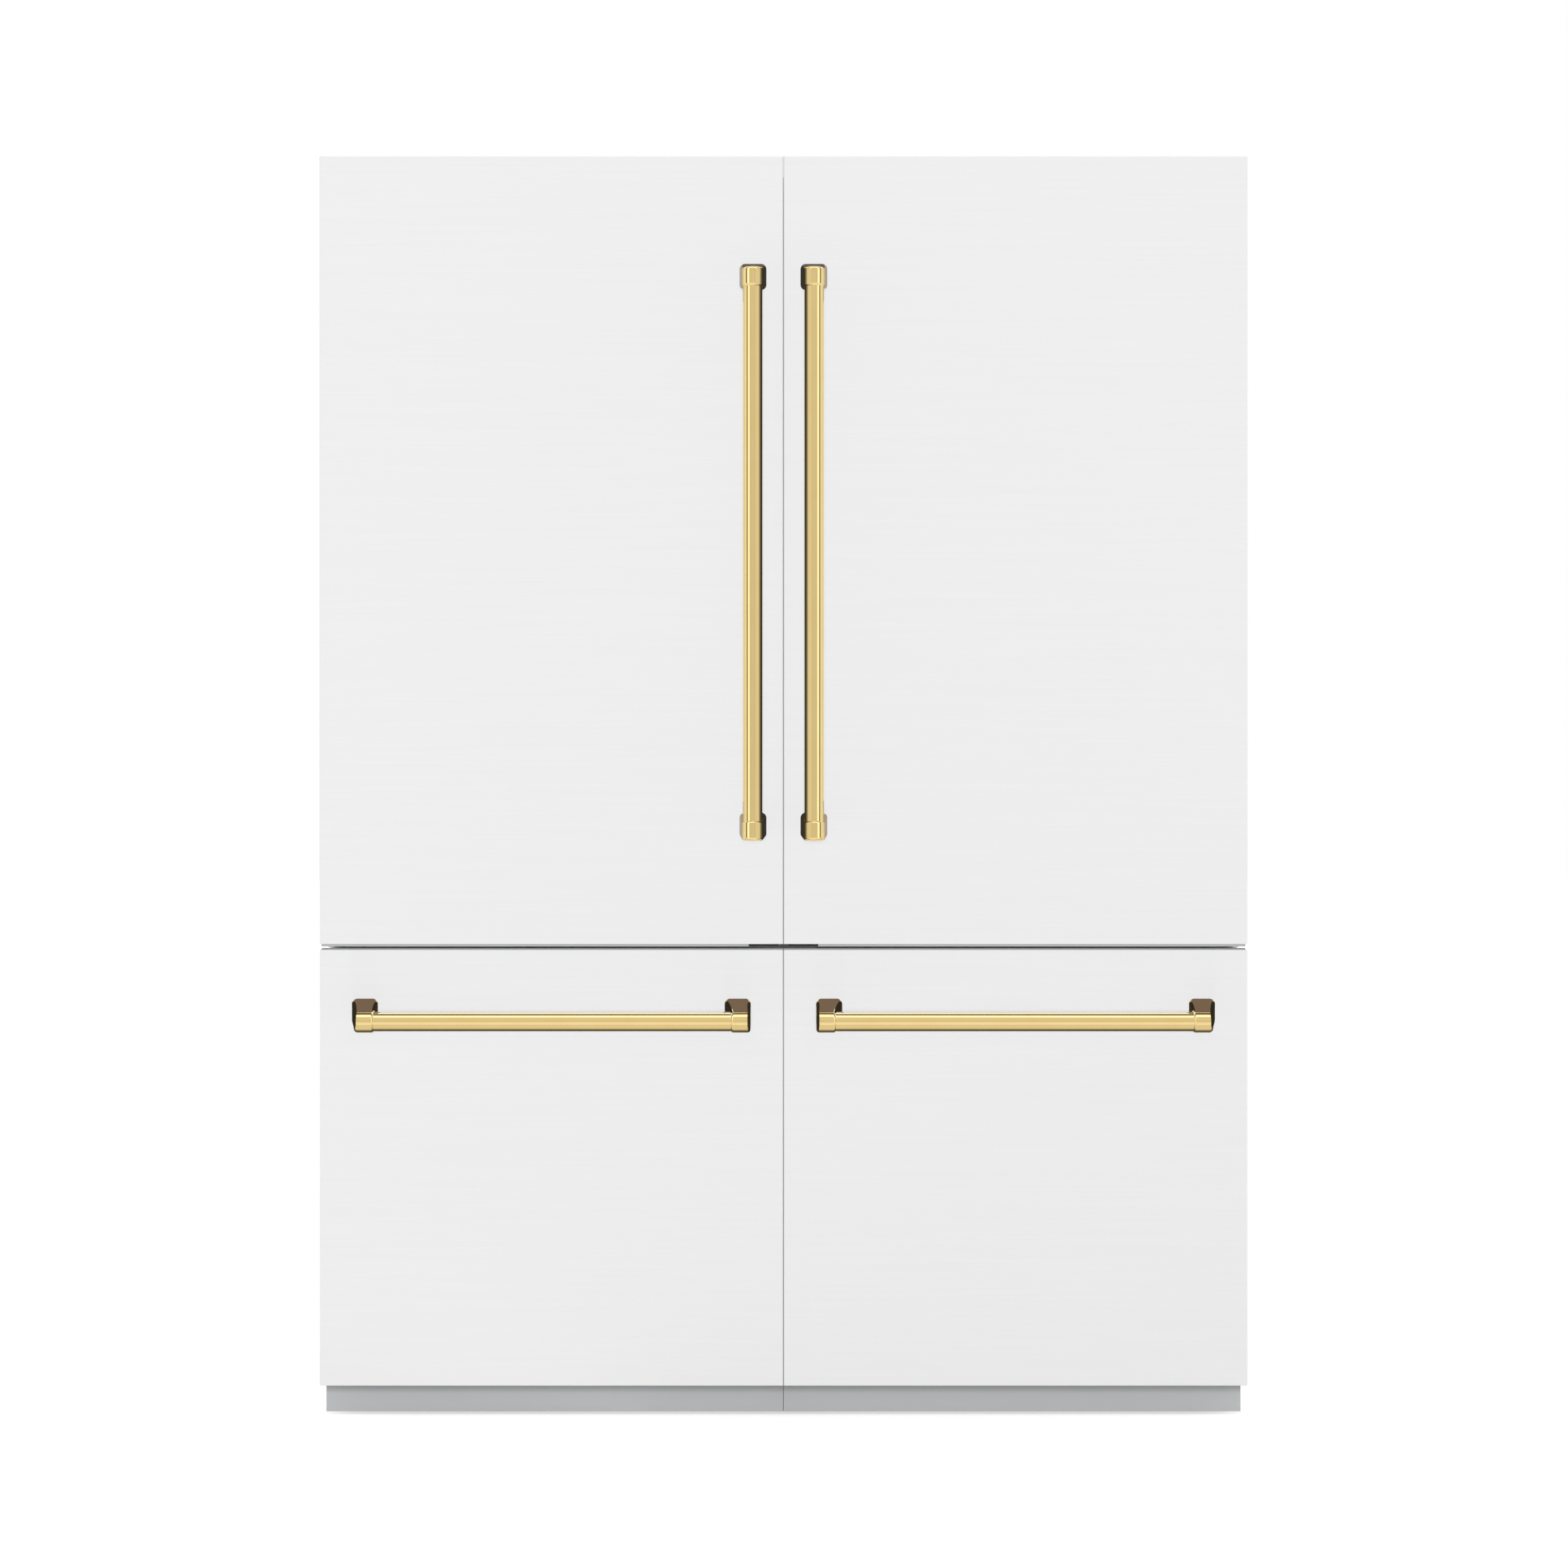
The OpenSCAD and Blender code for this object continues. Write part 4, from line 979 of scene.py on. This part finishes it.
def wire_basket(side):
    """Coated wire basket: loops across, loops from front to back, level rings and a thick rim."""
    x, y, z = span("right_freezer_basket")
    thin, thick, rim, bend = 1.6, 3.0, 8, 12
    (left, right), (front, back) = grow(x, -rim - thin), grow(y, -thin)
    top, bottom = z[1] - thick, z[0] + thin
    loops = [[(left, at, top), (left, at, bottom), (right, at, bottom), (right, at, top)]
             for at in np.linspace(front + 16, back - 16, 13)]
    loops += [[(at, front, top), (at, front, bottom), (at, back, bottom), (at, back, top)]
              for at in np.linspace(left + 22, right - 22, 24)]
    form = Form().joined(*[wire(rounded_path(corners, bend), thin) for corners in loops])
    for height, radius in ((top, thick), (pair_mid(z), thin), (z[0] + 70, thin),
                           (z[1] - 60, thin)):
        corners = [(left, front, height), (right, front, height), (right, back, height),
                   (left, back, height)]
        form.joined(wire(rounded_path(corners, 14, closed=True), radius, closed=True))
    for rim_x in both_ends(x, rim + 2 * thin):
        form.joined(slab(rim_x, grow(y, -4), (z[1] - 3, z[1] - 1), 0.8))
    side_piece(side, "wire_basket", form, "white_wire", "freezer_basket")


def freezer_tray(side):
    """Clear sliding tray with a satin bar along its front edge."""
    x, y, z = span("right_freezer_tray")
    side_piece(side, "clear_tray", vessel(x, y, z, 2.5, 12, draft=2), "clear_plastic",
               "freezer_tray", even=True)
    trim = slab(grow(x, -14), (y[0] - 1.5, y[0] + 0.4), (z[1] - 18, z[1] - 2), 0.7, "y", corner=3)
    side_piece(side, "tray_trim", trim, "trim_aluminium", "freezer_tray", (), True)


# ---------------- cabinet

def dome(place, axis, out=1, radius=4.2, height=1.8):
    """Domed disc that stands on a place; out is 1 or -1 along the axis."""
    first, second, along = AXES[axis]
    profile = [(radius, place[along] - out * 0.4)]
    profile += [(radius * (1 - 0.65 * inset), place[along] + out * height * (1 - drop))
                for drop, inset in quarter_arc(4)]
    return lathe(profile, (place[first], place[second]), axis, 20)


def painted_shade_cross(place, axis, radius=4.2, height=1.8):
    """Dark cross in the top of a domed screw head: painted shade that stands for its cross recess.
    """
    first, second, along = AXES[axis]
    top, form = place[along] + height + 0.05, Form()
    for half_u, half_v in ((0.55, 0.12), (0.12, 0.55)):
        ranges = [(top - 0.6, top)] * 3
        ranges[first] = grow((place[first],) * 2, radius * half_u)
        ranges[second] = grow((place[second],) * 2, radius * half_v)
        form.joined(slab(*ranges, 0.1, axis, steps=1, corner_steps=1))
    return form


def screws(side, name, places):
    """Screw heads and the painted shade of their recesses, as two pieces; each place has the axis
    that it faces.
    """
    # the second piece is a dark plastic cross: painted shade of each head's recess
    for kind, shape, look in (("screws", dome, "zinc_steel"),
                              ("screw_recess_painted_shade", painted_shade_cross, "dark_plastic")):
        form = Form().joined(*[shape(place, axis) for place, axis in places])
        side_piece(side, f"{name}_{kind}", form, look, "casing", ())


def window(near, far, outer, hole, corner=1, hole_corner=1):
    """Plate between two depths, with an outline and a hole that are ranges z and x."""
    return loft([(near, *outer, corner), (far, *outer, corner), (far, *hole, hole_corner),
                 (near, *hole, hole_corner)], "y", 4, closed=True)


def cabinet_levels():
    """Where the machine compartment ends upwards and inwards, and the level between the mouths."""
    cross = pair_mid((span("fridge_liners")[2][0], span("freezer_liners")[2][1]))
    return span("rear_covers")[2][1], span("freezer_liners")[1][1] - BAY, cross


def service_cup():
    """Ranges z and x of the cup at the back with the power inlet and the water fitting."""
    x, _, z = span("power_inlets")
    return z, (x[1] - CUP, x[1])


def casing(side):
    """Folded sheet-metal cabinet: sides, top, bottom, stepped back and the frame of the mouths."""
    x, y, z = span("right_casing")
    bay_z, bay_y, cross = cabinet_levels()
    edge, inner_x, form = 0.7, grow(x, -0.2), Form()
    for side_x in both_ends(x, SHEET):
        form.joined(slab(side_x, y, z, edge, "x", corner=3))
    for sheet_y, sheet_z, axis in ((grow(y, -0.3), (z[1] - SHEET, z[1]), "z"),
                                   ((y[0] + 0.3, bay_y), (z[0], z[0] + SHEET), "z"),
                                   ((bay_y - SHEET, y[1] - 1), (bay_z, bay_z + SHEET), "z"),
                                   ((bay_y - SHEET, bay_y), (z[0], bay_z + SHEET), "y")):
        form.joined(slab(inner_x, sheet_y, sheet_z, edge, axis))
    outer, hole = ((bay_z, z[1] - 0.3), inner_x), service_cup()
    sunk, flange = y[1] - SINK, 16
    rings = [(sunk - SHEET, outer, 0, edge), (y[1] - edge, outer, 0, edge),
             (y[1], outer, -edge, edge), (y[1], outer, -flange, 8), (sunk, outer, -flange - 4, 8),
             (sunk, hole, 12, 8), (y[1] - 0.2, hole, 8, 6), (y[1] - 0.2, hole, 0, 2),
             (sunk - SHEET, hole, 0, 2)]
    form.joined(loft([(at, grow(u, by), grow(v, by), corner)
                      for at, (u, v), by, corner in rings], "y", 4, closed=True))
    for node, plate_z in (("fridge_liners", (cross, z[1])), ("freezer_liners", (z[0], cross))):
        mouth = [grow(pair, LINER) for pair in liner_ranges(node)[:2]]
        form.joined(window(y[0], y[0] + SHEET, (plate_z, inner_x), mouth, edge, LINER_CORNER))
    # Stiffening beads and shallow panels of the side, the top and the back
    for side_z in ((z[0] + 90, z[0] + 900), (z[0] + 1010, z[1] - 90)):
        form.joined(slab((x[1] - 0.6, x[1] + 1.6), grow(y, -70), side_z, 1.5, "x", 24))
    form.joined(slab(grow(x, -140), (y[0] + 150, y[1] - 190), (z[1] - 0.6, z[1] + 1.6), 1.5, "z",
                     20))
    for at in np.linspace(hole[0][1] + 150, z[1] - 160, 8):
        form.joined(slab(grow(x, -90), (sunk - 1, y[1] - 0.4), (at - 9, at + 9), 2.8, "y", 8.5))
    side_piece(side, "cabinet", form, "casing_paint", "casing", even=True)


def casing_screws(side):
    """Screws along the edges of the cabinet's side, top and back."""
    x, y, z = span("right_casing")
    back_y, bay_z = y[1] - SINK + 0.2, cabinet_levels()[0]
    places = [((x[1], at, height), "x") for at in (y[0] + 22, y[1] - 24)
              for height in np.linspace(*grow(z, -40), 9)]
    places += [((at, depth, z[1]), "z") for at in grow(x, -20)
               for depth in np.linspace(y[0] + 40, y[1] - 30, 4)[1:]]
    places += [((at, back_y, height), "y") for at in grow(x, -32)
               for height in np.linspace(bay_z + 60, z[1] - 60, 6)]
    screws(side, "cabinet", places)


def casing_marks(side):
    """Plugs of the holes that the foam is filled through, and the blank rating plate."""
    x, y, z = span("right_casing")
    sunk, bay_z = y[1] - SINK, cabinet_levels()[0]
    profile = [(radius, sunk + rise) for radius, rise in
               ((17, -1), (17, 1.2), (15.5, 2.6), (6, 3), (5, 1.6), (0.5, 1.6))]
    plugs = [lathe(profile, (at, pair_mid(x)), "y", 40) for at in (z[0] + 820, z[0] + 1290)]
    side_piece(side, "filling_plugs", Form().joined(*plugs), "grey_plastic", "casing", ())
    plate = slab((x[0] + 70, x[0] + 170), (sunk - 0.4, sunk + 0.3), (bay_z + 60, bay_z + 125), 0.2,
                 "y", 3)
    side_piece(side, "rating_plate", plate, "rating_plate", "casing", ())


def foam():
    """Foam between the casing and the liners: frames around both liners and a sheet behind them."""
    x = grow(span("right_casing")[0], -SHEET)
    _, y, z = span("insulation")
    gap, wall_z = LINER + 0.4, 28
    fridge_z, fridge_x, front, back = liner_ranges("fridge_liners")
    freezer_z = liner_ranges("freezer_liners")[0]
    bay_z, _, cross = cabinet_levels()
    bay_z, bay_y, last = bay_z + 2, back - BAY - wall_z, back + LINER
    cup, hole_x = [grow(pair, 1) for pair in service_cup()], grow(fridge_x, gap)
    form = window(last, y[1] - 5, ((bay_z, z[1]), x), cup)
    for near, far, outer, hole in ((front + gap, last, (cross, z[1]), fridge_z),
                                   (front + gap, bay_y, (z[0], cross), freezer_z),
                                   (bay_y, last, (bay_z, cross), (bay_z + 30, freezer_z[1]))):
        form.joined(window(near, far, (outer, x), (grow(hole, gap), hole_x)))
    piece("rigid_foam", both(form), "foam", "root", ["insulation"])


def rear_cover(side):
    """Sunk cover of the machine compartment with pressed louvres above its slots."""
    x, y, z = solids("rear_covers")[0]
    back, edge = y[1] - 2.6, 0.3
    slot_x = [(x[0] + at, x[0] + at + 190) for at in (60, 275, 490)]
    slot_z = [(z[0] + at, z[0] + at + 10) for at in range(30, 200, 20)]
    form = Form()
    margins = [x[0], *sum(slot_x, ()), x[1]]
    for pair in zip(margins[::2], margins[1::2]):
        form.joined(slab(pair, (back - 1, back + 0.5), z, edge, "y"))
    levels = [z[0], *sum(slot_z, ()), z[1]]
    for pair in zip(levels[::2], levels[1::2]):
        form.joined(slab(grow(x, -1), (back - 1, back), pair, edge, "y", steps=1, corner_steps=1))
    for across_x in slot_x:
        for _, high in slot_z:
            form.joined(slab(grow(across_x, 2), (back - 0.5, y[1] - 0.3), (high - 2, high + 6), 2,
                             "x", 2.2))
    for edge_x in both_ends(x, 1):
        form.joined(slab(edge_x, (y[0], back), z, edge, "x", steps=1, corner_steps=1))
    side_piece(side, "louvred_cover", form, "grey_paint", "casing", ["rear_covers"], True)
    screws(side, "cover", [((at, back, height), "y") for at in np.linspace(*grow(x, -25), 5)
                           for height in grow(z, -12)])


def compressor():
    """Compressor: welded shell on a plate with rubber feet, a terminal box and its tubes."""
    x, y, z = solids("compressors")[0]
    half_x, half_y = 95, 70
    mid_x, mid_y = x[0] + half_x, y[0] + half_y
    radius, low, high, dome_r = 78, z[0] + 12, z[0] + 162, 30
    seam = pair_mid((low, high)) + 12
    profile = [(0.4 * radius, low)] + [(radius + by, at) for by, at in (
        (-12, low + 1), (-3, low + 8), (0, low + 18), (0, seam - 5), (1.5, seam - 3),
        (1.5, seam + 3), (-1, seam + 5))]
    profile += [(radius - 1 - inset, high - drop) for drop, inset in dome_r * quarter_arc(8)]
    profile += [(0.2 * radius, high + 2), (1, high + 2)]
    form = lathe(profile, (mid_x, mid_y), "z", 64)
    form.joined(slab((mid_x - half_x, mid_x + half_x), (mid_y - half_y, mid_y + half_y),
                     (low - 4, low + 1), 1, corner=14))
    piece("compressor_shells", both(form), "black_enamel", "root", ["compressors"])
    foot = [(r, z[0] + rise) for r, rise in ((11, 0), (12, 2), (8, 5), (11, 8), (6, 14))]
    feet = [lathe(foot, (mid_x + foot_x, mid_y + foot_y), "z", 28)
            for foot_x in (-82, 82) for foot_y in (-57, 57)]
    piece("compressor_feet", both(Form().joined(*feet)), "dark_plastic")
    box = slab((mid_x + radius - 10, mid_x + radius + 26), (mid_y - 26, mid_y + 26),
               (seam - 52, seam + 8), 4, "x")
    piece("terminal_boxes", both(box), "dark_plastic")
    tubes, out_y = Form(), mid_y - radius - 8
    for top, at in ((high + 16, mid_x - 40), (high + 30, mid_x), (high + 44, mid_x + 40)):
        corners = [(at, mid_y - radius + 6, seam - 20), (at, out_y, seam - 20), (at, out_y, top),
                   (mid_x + 190, out_y, top), (mid_x + 190, mid_y - 30, top)]
        tubes.joined(wire(rounded_path(corners, 10), 4, 14))
    piece("refrigerant_tubes", both(tubes), "copper")


def build():
    """The whole appliance: the parts of each side, then those that both sides share."""
    finish_frame()
    for side in SIDES:
        for node in ("door_panel", "drawer_panel"):
            panel(side, node)
        handle(side, "door_handle", "z")
        handle(side, "drawer_handle", "x")
        for node in ("door_gasket", "drawer_gasket"):
            gasket(side, node)
        for part in (door_body, drawer_body, edge_trims, door_bins, wire_basket, freezer_tray,
                     casing, casing_screws, casing_marks, touch_lights, rear_cover):
            part(side)
    for part in (plinth_seam, foam, compressor, fridge_liners, freezer_liners, glass_shelves,
                 crispers):
        part()


stage()
build()
